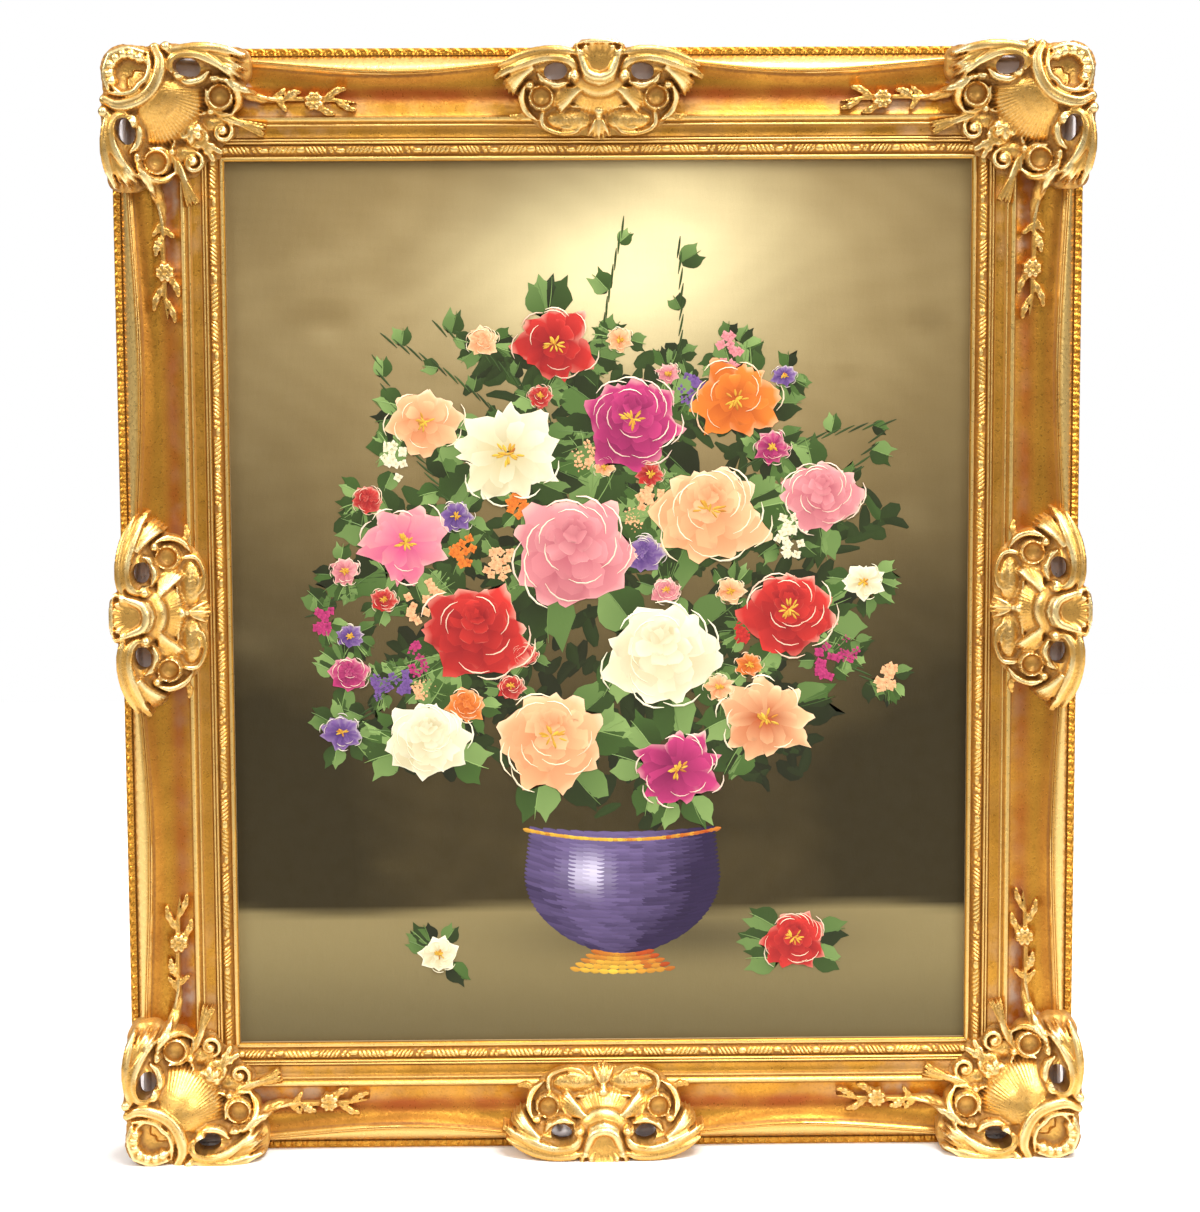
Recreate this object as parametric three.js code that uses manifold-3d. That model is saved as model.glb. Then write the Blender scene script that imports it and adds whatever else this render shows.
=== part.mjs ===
// A framed painting: canvas on a pine stretcher in a gilt swept frame of mitred rails,
// with pierced cast ornaments at the corners and the middle of each side.
// Sizes are in millimetres. The frame hangs upright: +Z is up and its front faces -Y.

import * as THREE from 'three';
import { mergeVertices } from 'three/addons/utils/BufferGeometryUtils.js';
import Module from 'manifold-3d';

const wasm = await Module();
wasm.setup();

// Driving sizes of the canvas and its stretcher
const CANVAS_WIDTH = 508;
const CANVAS_HEIGHT = 610;
const CANVAS_DEPTH = 18.6;
const CLOTH = 0.8;
const CLOTH_RETURN = 20;
const STRETCHER_WIDTH = 38;
const STRETCHER_BEVEL = 2;

// Fits: touching pieces, mitres, and the play around the canvas in its rebate
const CONTACT_GAP = 0.3;
const MITRE_GAP = 0.3;
const CANVAS_PLAY = 1;

// Driving sizes of the rails: across the face, and from the wall to the sight edge
const RAIL_WIDTH = 74;
const RAIL_DEPTH = 26;
const REBATE_COVER = 5;
const LIP_DEPTH = 4;

// Members of the rail from the sight edge outward: start and end, and heights above the sight edge
const SIGHT_FILLET = { end: 3.6, height: 0.7 };
const LEAF_MOULDING = { start: 4.2, end: 10.4, foot: 1, head: 3, swell: 1.2 };
const REEDS = { start: 11.4, end: 15, height: 4.4 };
const FRIEZE = { end: 22.5, height: 4.8 };
const STEP = { start: 26, end: 29, height: 6.4 };
const SCOOP = { start: 34, end: 48.5, height: 4.3, sag: 1.2 };
const BEAD = { width: 5, seat: 1.6, height: 2.4 };

// The swept outer ridge: how wide its band is along a rail, and how high its edges stand
const SWEEP_SKEW = 1.2;
const TOP_SWEEP = { narrow: 7.5, swell: 10.5 };
const SIDE_SWEEP = { narrow: 11, swell: 7 };
const RIDGE = { shoulder: 9.2, crest: 10.4, lowShoulder: 6.4, lowCrest: 7.2 };
const SWEEP_STATIONS = 5;

// The cast ornaments: how far they stand out past the rail, and the foot of their outer wall
const OVERHANG = 2;
const FOOT_INSET = 1;
const CASTING_UNDERSIDE = -3;
const HOLLOW_BELOW_RIM = 28;
const HOLLOW_BELOW_SHELL = 11;
const END_HEIGHT_SHARE = 0.45;

// Heights of the casting's body above the sight edge, by distance in from the rail's outer edge
const CASTING_FACE = [
  { inward: -OVERHANG, height: 41 },
  { inward: 16, height: 38 },
  { inward: 27, height: 20 },
  { inward: 52, height: 12 },
  { inward: 80, height: 6 },
];

// Corner ornament: places are (along, inward) from the rail's outer corner
const CORNER_REACH = { full: 84, end: 106 };
const CORNER_ROUND = 14;
const CORNER_OUTLINE = [
  [29, -0.5], [42, -2], [74, -0.8], [92, 2], [94, 19], [83, 37], [85, 55], [70, 64],
];
const CORNER_TIP = 72;
const CORNER_LOBE = { at: 18.5, radius: 12, dish: 35, rim: 45 };
const CORNER_SHELL = { focus: 35, inner: 5, outer: 26, halfAngle: 60, ribs: 4, high: 39, low: 15, flute: 1.2 };
const CORNER_MOUND = { at: 28, radius: 27, height: 41 };
const CORNER_HOLE = { along: 54.3, inward: 13.2, halfLength: 8.6, halfWidth: 5.6, turn: 10 };
const CORNER_BALL = { radius: 3.8, along: 41.5, inward: -2.6, height: 42 };
const CARTOUCHE = { along: 71, inward: 31, radius: 8.5, dish: 14.5, rim: 20 };
const CARTOUCHE_KNOB = { radius: 3.4, along: 80, inward: 22, height: 24 };
const ROSETTE = { at: 53, radius: 7, height: 18 };
const FRET_SCROLL = {
  along: 72, inward: 54, radius: 8, endRadius: 2.5, height: 12, thickness: 2.6, from: 200, sweep: 330,
};
const CREST_BAND = { places: [[34, -0.5, 40], [36, 13, 42], [32.5, 26, 42]], radius: 3.8, endRadius: 3.8 };

// The strap around a corner's hole: places are (along, inward) from the hole's middle, and heights
const CORNER_STRAP = {
  places: [
    [-6, 3, 37], [-12, 0, 40], [-8, -7, 43], [2, -9.5, 43.5], [14, -5, 41.5], [24, 2, 37], [36, 2, 30],
  ],
  radius: 3,
  endRadius: 3.4,
};

// Leaves: root and tip are (along, inward, height)
const CORNER_LEAVES = [
  { root: [76, 15, 36], tip: [101, 9, 29], width: 9, thickness: 4 },
  { root: [72, 20, 31], tip: [98, 21, 24], width: 8, thickness: 4 },
  { root: [76, 48, 10], tip: [104, 55, 8], width: 10, thickness: 3 },
];
const SIGHT_LEAF = { root: [60, 60, 10], tip: [74, 74, 5], width: 10, thickness: 3 };

// Sprays that trail from the corner ornaments along the scoop, each place as a share of its length
const SPRAY_START = 82;
const SPRAY_LENGTH = { horizontal: 82, vertical: 100 };
const SPRAY_STEM = {
  places: [[0, 24, 16], [0.3, 32, 9], [0.66, 35, 8], [1, 37, 8]],
  radius: 4,
  endRadius: 3,
};
const SPRAY_LEAF = { root: [0.36, 33, 9], tip: [0.5, 25, 11], width: 7, thickness: 3 };
const SPRAY_FLOWER = { along: 0.66, inward: 35, radius: 6.5, height: 13 };

// Centre ornament: places are (along, inward) from the middle of the rail's outer edge
const CENTRE_REACH = { full: 46, end: 70 };
const CENTRE_OUTLINE = [
  [8, -1.5], [17, 1], [28, 2], [46, 4], [62, 9], [63, 21], [51, 30], [36, 54], [16, 59],
];
const CENTRE_BOWL = { inward: 10, radius: 11, dish: 33, rim: 42 };
const CENTRE_SHELL = { focus: 24, inner: 3, outer: 16, halfAngle: 80, ribs: 4, high: 36, low: 16, flute: 1 };
const CREST_FAN = { focus: 11, inner: 8, outer: 13.5, halfAngle: 38, ribs: 2, high: 42, low: 43, flute: 1 };
const CENTRE_HOLE = { along: 28.5, inward: 17.4, halfLength: 7.4, halfWidth: 5.2, turn: 8 };
const KIDNEY = {
  along: 19, inward: 48, radius: 12, endRadius: 3, height: 13, thickness: 2.6, from: -60, sweep: 330,
};
const CENTRE_STRAP = {
  places: [
    [-8, 4, 36], [-13, 0, 39], [-9, -7, 42], [0, -9, 42.5], [12, -6, 40], [22, -2, 36], [32, 0, 29],
  ],
  radius: 2.9,
  endRadius: 3.2,
};
const CENTRE_LEAVES = [
  { root: [50, 14, 35], tip: [71, 12, 27], width: 8, thickness: 4 },
  { root: [48, 21, 27], tip: [69, 24, 20], width: 8, thickness: 4 },
  { root: [38, 34, 16], tip: [57, 43, 12], width: 7, thickness: 3 },
];
const CENTRE_TUFT = { root: [0, 48, 12], tip: [0, 62, 9], width: 9, thickness: 3.5 };

// How finely round shapes are faceted
const HOLE_STEPS = 3;
const ROUND_SIDES = 6;
const STRAND_SIDES = 3;
const STRAP_STEPS = 5;
const SCROLL_STEPS = 5;
const STEM_STEPS = 3;
const SCROLL_PLACES = 7;

// Sizes that follow from the driving ones
const SIGHT_WIDTH = CANVAS_WIDTH - 2 * REBATE_COVER;
const SIGHT_HEIGHT = CANVAS_HEIGHT - 2 * REBATE_COVER;
const HALF_SIGHT = { width: SIGHT_WIDTH / 2, height: SIGHT_HEIGHT / 2 };
const HALF_OUTER = { width: HALF_SIGHT.width + RAIL_WIDTH, height: HALF_SIGHT.height + RAIL_WIDTH };
const HANGING_POINT = RAIL_WIDTH * 0.54;
const BEAD_START = RAIL_WIDTH - BEAD.width;
const BEAD_TOP = BEAD.seat + BEAD.height;

const { lerp, degToRad } = THREE.MathUtils;

// Solids and meshes

function toSolid(geometry) {
  const bare = geometry.clone();
  bare.deleteAttribute('normal');
  bare.deleteAttribute('uv');
  const merged = mergeVertices(bare);
  return new wasm.Manifold(new wasm.Mesh({
    numProp: 3,
    vertProperties: merged.getAttribute('position').array,
    triVerts: Uint32Array.from(merged.getIndex().array),
  }));
}

function toGeometry(solid) {
  const mesh = solid.getMesh();
  const geometry = new THREE.BufferGeometry();
  geometry.setAttribute('position', new THREE.BufferAttribute(mesh.vertProperties, 3));
  geometry.setIndex(new THREE.BufferAttribute(mesh.triVerts, 1));
  return geometry;
}

function joined(geometries) {
  return geometries.map(toSolid).reduce((sum, solid) => sum.add(solid));
}

function signedVolume(points, triangles) {
  let volume = 0;
  for (const [i, j, k] of triangles) {
    volume += points[i].dot(new THREE.Vector3().crossVectors(points[j], points[k]));
  }
  return volume;
}

// A closed skin over rings of equal point counts, its ends capped, its faces turned outward
function loft(rings) {
  const count = rings[0].length;
  const points = rings.flat();
  const triangles = [];
  for (let r = 0; r < rings.length - 1; r += 1) {
    for (let i = 0; i < count; i += 1) {
      const here = r * count + i;
      const next = r * count + ((i + 1) % count);
      triangles.push([here, next, next + count]);
      triangles.push([here, next + count, here + count]);
    }
  }
  for (const [ring, start, flip] of [[rings[0], 0, true], [rings.at(-1), points.length - count, false]]) {
    for (const [i, j, k] of capTriangles(ring)) {
      triangles.push(flip ? [start + i, start + k, start + j] : [start + i, start + j, start + k]);
    }
  }
  const inward = signedVolume(points, triangles) < 0;
  const index = triangles.flatMap(([i, j, k]) => (inward ? [i, k, j] : [i, j, k]));
  const geometry = new THREE.BufferGeometry().setFromPoints(points);
  geometry.setIndex(index);
  return geometry;
}

// Triangles across a flat ring, in the ring's own turning direction
function capTriangles(ring) {
  const normal = new THREE.Vector3();
  ring.forEach((point, i) => {
    normal.add(new THREE.Vector3().crossVectors(point, ring[(i + 1) % ring.length]));
  });
  const turn = new THREE.Quaternion().setFromUnitVectors(normal.normalize(), new THREE.Vector3(0, 0, 1));
  const flat = ring.map((point) => {
    const turned = point.clone().applyQuaternion(turn);
    return new THREE.Vector2(turned.x, turned.y);
  });
  return THREE.ShapeUtils.triangulateShape(flat, []);
}

// Curves and profiles

// Points after `from` on a shallow bow to `to`, raised by `swell` in its middle
function bow(from, to, swell, steps) {
  return Array.from({ length: steps }, (_, i) => {
    const t = (i + 1) / steps;
    const rise = 4 * swell * t * (1 - t);
    return new THREE.Vector2(lerp(from.x, to.x, t), lerp(from.y, to.y, t) + rise);
  });
}

// The rail's face at one station, as (distance outward, height), sight edge first
function railFace(sweep, share) {
  const at = (x, y) => new THREE.Vector2(x, y);
  const innerEdge = RAIL_WIDTH - sweep.narrow - sweep.swell * share;
  const width = BEAD_START - innerEdge;
  const shoulder = lerp(RIDGE.lowShoulder, RIDGE.shoulder, share);
  const crest = lerp(RIDGE.lowCrest, RIDGE.crest, share);
  const scoopStart = at(SCOOP.start, SCOOP.height);
  const scoopEnd = at(SCOOP.end, SCOOP.height);
  const leafStart = at(LEAF_MOULDING.start, LEAF_MOULDING.foot);
  const leafEnd = at(LEAF_MOULDING.end, LEAF_MOULDING.head);
  return [
    at(0, 0),
    at(SIGHT_FILLET.end, SIGHT_FILLET.height),
    leafStart,
    ...bow(leafStart, leafEnd, LEAF_MOULDING.swell, 2),
    at(REEDS.start, REEDS.height),
    at(REEDS.end, REEDS.height),
    at(FRIEZE.end, FRIEZE.height),
    at(STEP.start, STEP.height),
    at(STEP.end, STEP.height),
    scoopStart,
    ...bow(scoopStart, scoopEnd, -SCOOP.sag, 2),
    at(innerEdge, shoulder),
    at(innerEdge + width * 0.15, crest),
    at(innerEdge + width * 0.5, lerp(BEAD.seat, crest, 0.65)),
    at(BEAD_START, BEAD.seat),
    at(BEAD_START + BEAD.width * 0.5, BEAD_TOP),
    at(RAIL_WIDTH, BEAD.seat),
  ];
}

// The whole section, closed around the back and the rebate
function railSection(face) {
  const rebate = REBATE_COVER + CANVAS_PLAY;
  const at = (x, y) => new THREE.Vector2(x, y);
  return [
    ...face,
    at(RAIL_WIDTH, -RAIL_DEPTH),
    at(rebate, -RAIL_DEPTH),
    at(rebate, -LIP_DEPTH),
    at(0, -LIP_DEPTH),
  ];
}

// The bed of the castings: a face over the rail's high members, which bridges what lies between
function bedFace(sweep) {
  const at = (x, y) => new THREE.Vector2(x, y);
  const widest = RAIL_WIDTH - sweep.narrow - sweep.swell;
  return [
    at(0, REEDS.height),
    at(STEP.start, STEP.height),
    at(STEP.end, STEP.height),
    at(SCOOP.start, SCOOP.height),
    at(SCOOP.end, SCOOP.height),
    at(widest, RIDGE.crest),
    at(BEAD_START, RIDGE.crest),
    at(BEAD_START, BEAD_TOP),
    at(RAIL_WIDTH, BEAD_TOP),
  ];
}

// A section with every face moved out by a margin
function grownSection(section, margin) {
  return section.map((point, i) => {
    const before = section[(i + section.length - 1) % section.length];
    const after = section[(i + 1) % section.length];
    const sides = [point.clone().sub(before).normalize(), after.clone().sub(point).normalize()];
    const normals = sides.map((side) => new THREE.Vector2(-side.y, side.x));
    const mean = normals[0].clone().add(normals[1]).normalize();
    const reach = margin / Math.max(mean.dot(normals[0]), 0.5);
    return point.clone().addScaledVector(mean, reach);
  });
}

// How far the ridge has widened at a place, from 0 by the ornaments to 1 midway between them
function sweepShare(fromMiddle, halfOuter) {
  const phase = Math.PI * ((halfOuter - fromMiddle) / halfOuter) ** SWEEP_SKEW;
  return Math.sin(phase) ** 2;
}

// A mitred length above a sight opening, lying along x, its outward side +y
function mitredLength({ halfLength, halfAcross }, places, sectionAt, mitre) {
  const halfOuter = halfLength + RAIL_WIDTH;
  return loft(places.map((place) => sectionAt(Math.abs(place)).map(({ x, y }) => (
    new THREE.Vector3((place / halfOuter) * (halfLength + x + mitre), halfAcross + x, y)))));
}

function railGeometry(rail) {
  const halfOuter = rail.halfLength + RAIL_WIDTH;
  const places = Array.from({ length: 2 * SWEEP_STATIONS + 1 }, (_, i) => (
    halfOuter * (i / SWEEP_STATIONS - 1)));
  const sectionAt = (place) => railSection(railFace(rail.sweep, sweepShare(place, halfOuter)));
  return mitredLength(rail, places, sectionAt, -MITRE_GAP / Math.SQRT2);
}

function bedGeometry(rail) {
  const halfOuter = rail.halfLength + RAIL_WIDTH;
  const section = grownSection(railSection(bedFace(rail.sweep)), CONTACT_GAP);
  return mitredLength(rail, [-halfOuter, halfOuter], () => section, CONTACT_GAP);
}

// Shapes that the castings are put together from

// A round bar along a curve, its radius changing from one end to the other
function strand({ places, radius, endRadius }, steps) {
  const curve = new THREE.CatmullRomCurve3(places.map((place) => new THREE.Vector3(...place)));
  const up = new THREE.Vector3(0, 0, 1);
  const rings = Array.from({ length: steps + 1 }, (_, i) => {
    const t = i / steps;
    const centre = curve.getPoint(t);
    const side = curve.getTangent(t).cross(up).normalize();
    const reach = lerp(radius, endRadius, t);
    return Array.from({ length: STRAND_SIDES }, (__, k) => {
      const angle = Math.PI / 2 + (2 * Math.PI * k) / STRAND_SIDES;
      return centre.clone()
        .addScaledVector(side, reach * Math.cos(angle))
        .addScaledVector(up, reach * Math.sin(angle));
    });
  });
  return loft(rings);
}

// A ridged leaf from its root to its tip
function leaf({ root, tip, width, thickness }) {
  const start = new THREE.Vector3(...root);
  const end = new THREE.Vector3(...tip);
  const up = new THREE.Vector3(0, 0, 1);
  const side = end.clone().sub(start).cross(up).normalize();
  const stations = [{ t: 0, share: 0.45 }, { t: 0.5, share: 1 }, { t: 1, share: 0.12 }];
  return loft(stations.map(({ t, share }) => {
    const middle = start.clone().lerp(end, t);
    return [
      middle.clone().addScaledVector(side, (-width / 2) * share).addScaledVector(up, -thickness * share),
      middle.clone().addScaledVector(side, (width / 2) * share).addScaledVector(up, -thickness * share),
      middle.clone().addScaledVector(up, thickness * share),
    ];
  }));
}

// A fluted fan around a focus, its middle pointing along `facing` degrees
function fan({ inner, outer, halfAngle, ribs, high, low, flute }, focus, facing, underside) {
  const stations = 2 * ribs + 1;
  const rings = Array.from({ length: stations }, (_, i) => {
    const angle = degToRad(facing + lerp(-halfAngle, halfAngle, i / (stations - 1)));
    const crown = i % 2 === 1 ? flute : -flute;
    const at = (distance, height) => new THREE.Vector3(
      focus[0] + distance * Math.cos(angle), focus[1] + distance * Math.sin(angle), height);
    return [
      at(inner, underside),
      at(inner, high),
      at(outer + crown, low + crown),
      at(outer + crown, underside),
    ];
  });
  return loft(rings);
}

// A scooped round dish with a raised rim
function dish({ radius, dish: bottom, rim }, along, inward, underside) {
  const profile = [
    [0, underside], [radius, underside], [radius * 0.9, rim], [radius * 0.6, bottom], [0, bottom],
  ];
  const geometry = new THREE.LatheGeometry(profile.map(([x, y]) => new THREE.Vector2(x, y)), ROUND_SIDES);
  return geometry.rotateX(Math.PI / 2).translate(along, inward, 0);
}

function dome(radius, height, along, inward, underside) {
  const profile = [
    [0, underside], [radius, underside], [radius * 0.8, height - radius * 0.4], [0, height],
  ];
  const geometry = new THREE.LatheGeometry(profile.map(([x, y]) => new THREE.Vector2(x, y)), ROUND_SIDES);
  return geometry.rotateX(Math.PI / 2).translate(along, inward, 0);
}

function pearl({ radius, along, inward, height }) {
  return new THREE.OctahedronGeometry(radius).translate(along, inward, height);
}

// A scroll that winds in around a centre
function scroll({ along, inward, radius, endRadius, height, thickness, from, sweep }) {
  const places = Array.from({ length: SCROLL_PLACES }, (_, i) => {
    const t = i / (SCROLL_PLACES - 1);
    const angle = degToRad(from + sweep * t);
    const reach = lerp(radius, endRadius, t);
    return [along + reach * Math.cos(angle), inward + reach * Math.sin(angle), height];
  });
  return strand({ places, radius: thickness, endRadius: thickness * 0.7 }, SCROLL_STEPS);
}

// A strap whose places are measured from the middle of a hole
function strapAround(hole, { places, ...radii }) {
  const moved = places.map(([x, y, z]) => [hole.along + x, hole.inward + y, z]);
  return strand({ places: moved, ...radii }, STRAP_STEPS);
}

function pierced({ along, inward, halfLength, halfWidth, turn }) {
  const outline = new THREE.Shape().absellipse(0, 0, halfLength, halfWidth, 0, 2 * Math.PI, false, 0);
  return upright(outline, HOLE_STEPS).rotateZ(degToRad(turn)).translate(along, inward, 0);
}

// The casting's body in section, its face above and its underside below
function castingSection(share) {
  const face = CASTING_FACE.map(({ inward, height }) => ({ inward, height: height * share }));
  return [
    ...face,
    { inward: CASTING_FACE.at(-1).inward, height: CASTING_UNDERSIDE },
    { inward: BEAD.width, height: CASTING_UNDERSIDE },
    { inward: FOOT_INSET, height: BEAD_TOP + CONTACT_GAP },
  ];
}

// A prism over an outline, taller than any casting
function upright(outline, curveSegments = HOLE_STEPS) {
  const depth = 2 * RAIL_WIDTH;
  return new THREE.ExtrudeGeometry(outline, { depth, bevelEnabled: false, curveSegments })
    .translate(0, 0, -RAIL_WIDTH);
}

// Swaps along and inward, keeping the faces outward
function acrossDiagonal(geometry) {
  const swapped = geometry.clone().applyMatrix4(new THREE.Matrix4().set(
    0, 1, 0, 0,
    1, 0, 0, 0,
    0, 0, 1, 0,
    0, 0, 0, 1));
  return turnedOver(swapped);
}

function acrossMiddle(geometry) {
  return turnedOver(geometry.clone().scale(-1, 1, 1));
}

function turnedOver(geometry) {
  const merged = geometry.index ? geometry : mergeVertices(geometry);
  const index = merged.getIndex();
  for (let i = 0; i < index.count; i += 3) {
    const second = index.getX(i + 1);
    index.setX(i + 1, index.getX(i + 2));
    index.setX(i + 2, second);
  }
  return merged;
}

// Corner ornament

function cornerBody() {
  const { full, end } = CORNER_REACH;
  const across = [[end, END_HEIGHT_SHARE], [full, 1]].map(([along, share]) => (
    castingSection(share).map(({ inward, height }) => new THREE.Vector3(inward, along, height))));
  const mitre = castingSection(1).map(({ inward, height }) => new THREE.Vector3(inward, inward, height));
  const along = across.toReversed().map((ring) => ring.map(({ x, y, z }) => new THREE.Vector3(y, x, z)));
  const outline = new THREE.Shape();
  outline.absarc(CORNER_ROUND, CORNER_ROUND, CORNER_ROUND + OVERHANG, Math.PI, 1.5 * Math.PI, false);
  CORNER_OUTLINE.forEach(([x, y]) => outline.lineTo(x, y));
  outline.lineTo(CORNER_TIP, CORNER_TIP);
  CORNER_OUTLINE.toReversed().forEach(([x, y]) => outline.lineTo(y, x));
  return toSolid(loft([...across, mitre, ...along])).intersect(toSolid(upright(outline)));
}

function cornerHalf() {
  return [
    strapAround(CORNER_HOLE, CORNER_STRAP),
    ...CORNER_LEAVES.map(leaf),
    pearl(CORNER_BALL),
    dish(CARTOUCHE, CARTOUCHE.along, CARTOUCHE.inward, HOLLOW_BELOW_SHELL),
    pearl(CARTOUCHE_KNOB),
    scroll(FRET_SCROLL),
  ];
}

function cornerMiddle() {
  const { focus } = CORNER_SHELL;
  const mirrored = CREST_BAND.places.toReversed().map(([along, inward, height]) => [inward, along, height]);
  const band = { ...CREST_BAND, places: [...CREST_BAND.places, ...mirrored] };
  return [
    dome(CORNER_MOUND.radius, CORNER_MOUND.height, CORNER_MOUND.at, CORNER_MOUND.at, HOLLOW_BELOW_SHELL),
    dish(CORNER_LOBE, CORNER_LOBE.at, CORNER_LOBE.at, HOLLOW_BELOW_RIM),
    strand(band, STRAP_STEPS),
    fan(CORNER_SHELL, [focus, focus], 45, HOLLOW_BELOW_SHELL),
    dome(ROSETTE.radius, ROSETTE.height, ROSETTE.at, ROSETTE.at, HOLLOW_BELOW_SHELL),
    leaf(SIGHT_LEAF),
  ];
}

// A trailing spray that lies in the scoop, starting on the casting's body
function spray(length) {
  const stretched = ([share, inward, height]) => [SPRAY_START + length * share, inward, height];
  const { radius, height, inward, along } = SPRAY_FLOWER;
  const stem = { ...SPRAY_STEM, places: SPRAY_STEM.places.map(stretched) };
  const spread = { ...SPRAY_LEAF, root: stretched(SPRAY_LEAF.root), tip: stretched(SPRAY_LEAF.tip) };
  return [
    strand(stem, STEM_STEPS),
    leaf(spread),
    dome(radius, height, SPRAY_START + length * along, inward, CASTING_UNDERSIDE),
  ];
}

function cornerSolid() {
  const half = cornerHalf();
  const pieces = [
    ...half,
    ...half.map(acrossDiagonal),
    ...cornerMiddle(),
    ...spray(SPRAY_LENGTH.horizontal),
    ...spray(SPRAY_LENGTH.vertical).map(acrossDiagonal),
  ];
  const hole = pierced(CORNER_HOLE);
  return joined(pieces).add(cornerBody()).subtract(joined([hole, acrossDiagonal(hole)]));
}

// Centre ornament

function centreBody() {
  const { full, end } = CENTRE_REACH;
  const places = [[-end, END_HEIGHT_SHARE], [-full, 1], [full, 1], [end, END_HEIGHT_SHARE]];
  const rings = places.map(([along, share]) => castingSection(share).map(({ inward, height }) => (
    new THREE.Vector3(along, inward, height))));
  const [[crestX, crestY]] = CENTRE_OUTLINE;
  const outline = new THREE.Shape().moveTo(-crestX, crestY);
  CENTRE_OUTLINE.forEach(([x, y]) => outline.lineTo(x, y));
  CENTRE_OUTLINE.toReversed().forEach(([x, y]) => outline.lineTo(-x, y));
  return toSolid(loft(rings)).intersect(toSolid(upright(outline)));
}

function centreHalf() {
  return [strapAround(CENTRE_HOLE, CENTRE_STRAP), ...CENTRE_LEAVES.map(leaf), scroll(KIDNEY)];
}

function centreSolid() {
  const half = centreHalf();
  const pieces = [
    ...half,
    ...half.map(acrossMiddle),
    dish(CENTRE_BOWL, 0, CENTRE_BOWL.inward, HOLLOW_BELOW_RIM),
    fan(CREST_FAN, [0, CREST_FAN.focus], -90, HOLLOW_BELOW_RIM),
    fan(CENTRE_SHELL, [0, CENTRE_SHELL.focus], 90, HOLLOW_BELOW_SHELL),
    leaf(CENTRE_TUFT),
  ];
  const hole = pierced(CENTRE_HOLE);
  return joined(pieces).add(centreBody()).subtract(joined([hole, acrossMiddle(hole)]));
}

// Placing the pieces: a picture frame in its own plane, z forward from the sight edge

const GILT_WOOD = { color: 0xb8863a, roughness: 0.38, metalness: 0.75 };
const GILT_CASTING = { color: 0xc79a48, roughness: 0.34, metalness: 0.8 };
const PAINTED_CLOTH = { color: 0x6f6a45, roughness: 0.75, metalness: 0 };
const PINE = { color: 0xcdb07c, roughness: 0.8, metalness: 0 };

function piece(name, geometry, finish) {
  const mesh = new THREE.Mesh(geometry, new THREE.MeshStandardMaterial(finish));
  mesh.name = name;
  return mesh;
}

const horizontalRail = { halfLength: HALF_SIGHT.width, halfAcross: HALF_SIGHT.height, sweep: TOP_SWEEP };
const verticalRail = { halfLength: HALF_SIGHT.height, halfAcross: HALF_SIGHT.width, sweep: SIDE_SWEEP };

const SIDES = [
  { name: 'top', rail: horizontalRail, turn: 0 },
  { name: 'left', rail: verticalRail, turn: 90 },
  { name: 'bottom', rail: horizontalRail, turn: 180 },
  { name: 'right', rail: verticalRail, turn: 270 },
];

function rails() {
  return SIDES.map(({ name, rail, turn }) => {
    const mesh = piece(`rail_${name}`, railGeometry(rail), GILT_WOOD);
    mesh.rotation.z = degToRad(turn);
    return mesh;
  });
}

// A centre ornament is cut to sit on the rail below it, then both turn together
function centreOrnaments() {
  const shape = toGeometry(centreSolid()).rotateZ(Math.PI);
  return SIDES.map(({ name, rail, turn }) => {
    const outerEdge = rail.halfAcross + RAIL_WIDTH;
    const bed = toSolid(bedGeometry(rail));
    const casting = toSolid(shape.clone().translate(0, outerEdge, 0)).subtract(bed);
    const mesh = piece(`centre_ornament_${name}`, toGeometry(casting), GILT_CASTING);
    mesh.rotation.z = degToRad(turn);
    return mesh;
  });
}

// The two lower corners are a pair of hands, each cut to sit on its own two rails;
// turned half round they fit the upper corners
function cornerOrnaments() {
  const shape = toGeometry(cornerSolid()).translate(-HALF_OUTER.width, -HALF_OUTER.height, 0);
  const bedAt = (rail, turn) => toSolid(bedGeometry(rail).rotateZ(degToRad(turn)));
  const hands = [
    { geometry: shape, sideTurn: 90, names: ['bottom_left', 'top_right'] },
    { geometry: acrossMiddle(shape), sideTurn: 270, names: ['bottom_right', 'top_left'] },
  ];
  return hands.flatMap(({ geometry, sideTurn, names }) => {
    const casting = toSolid(geometry)
      .subtract(bedAt(horizontalRail, 180))
      .subtract(bedAt(verticalRail, sideTurn));
    return names.map((name, half) => {
      const mesh = piece(`corner_ornament_${name}`, toGeometry(casting), GILT_CASTING);
      mesh.rotation.z = Math.PI * half;
      return mesh;
    });
  });
}

// Canvas: its face behind the lip, its edges turned over the stretcher and onto its back

function block(width, height, depth, front) {
  return toSolid(new THREE.BoxGeometry(width, height, depth).translate(0, 0, front - depth / 2));
}

const CANVAS_FRONT = -LIP_DEPTH - CONTACT_GAP;

function canvas() {
  const inside = CANVAS_DEPTH - 2 * CLOTH;
  const window = 2 * (CLOTH + CLOTH_RETURN);
  const cloth = block(CANVAS_WIDTH, CANVAS_HEIGHT, CANVAS_DEPTH, CANVAS_FRONT)
    .subtract(block(CANVAS_WIDTH - 2 * CLOTH, CANVAS_HEIGHT - 2 * CLOTH, inside, CANVAS_FRONT - CLOTH))
    .subtract(block(CANVAS_WIDTH - window, CANVAS_HEIGHT - window, CANVAS_DEPTH, CANVAS_FRONT - 2 * CLOTH));
  return piece('canvas', toGeometry(cloth), PAINTED_CLOTH);
}

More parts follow.
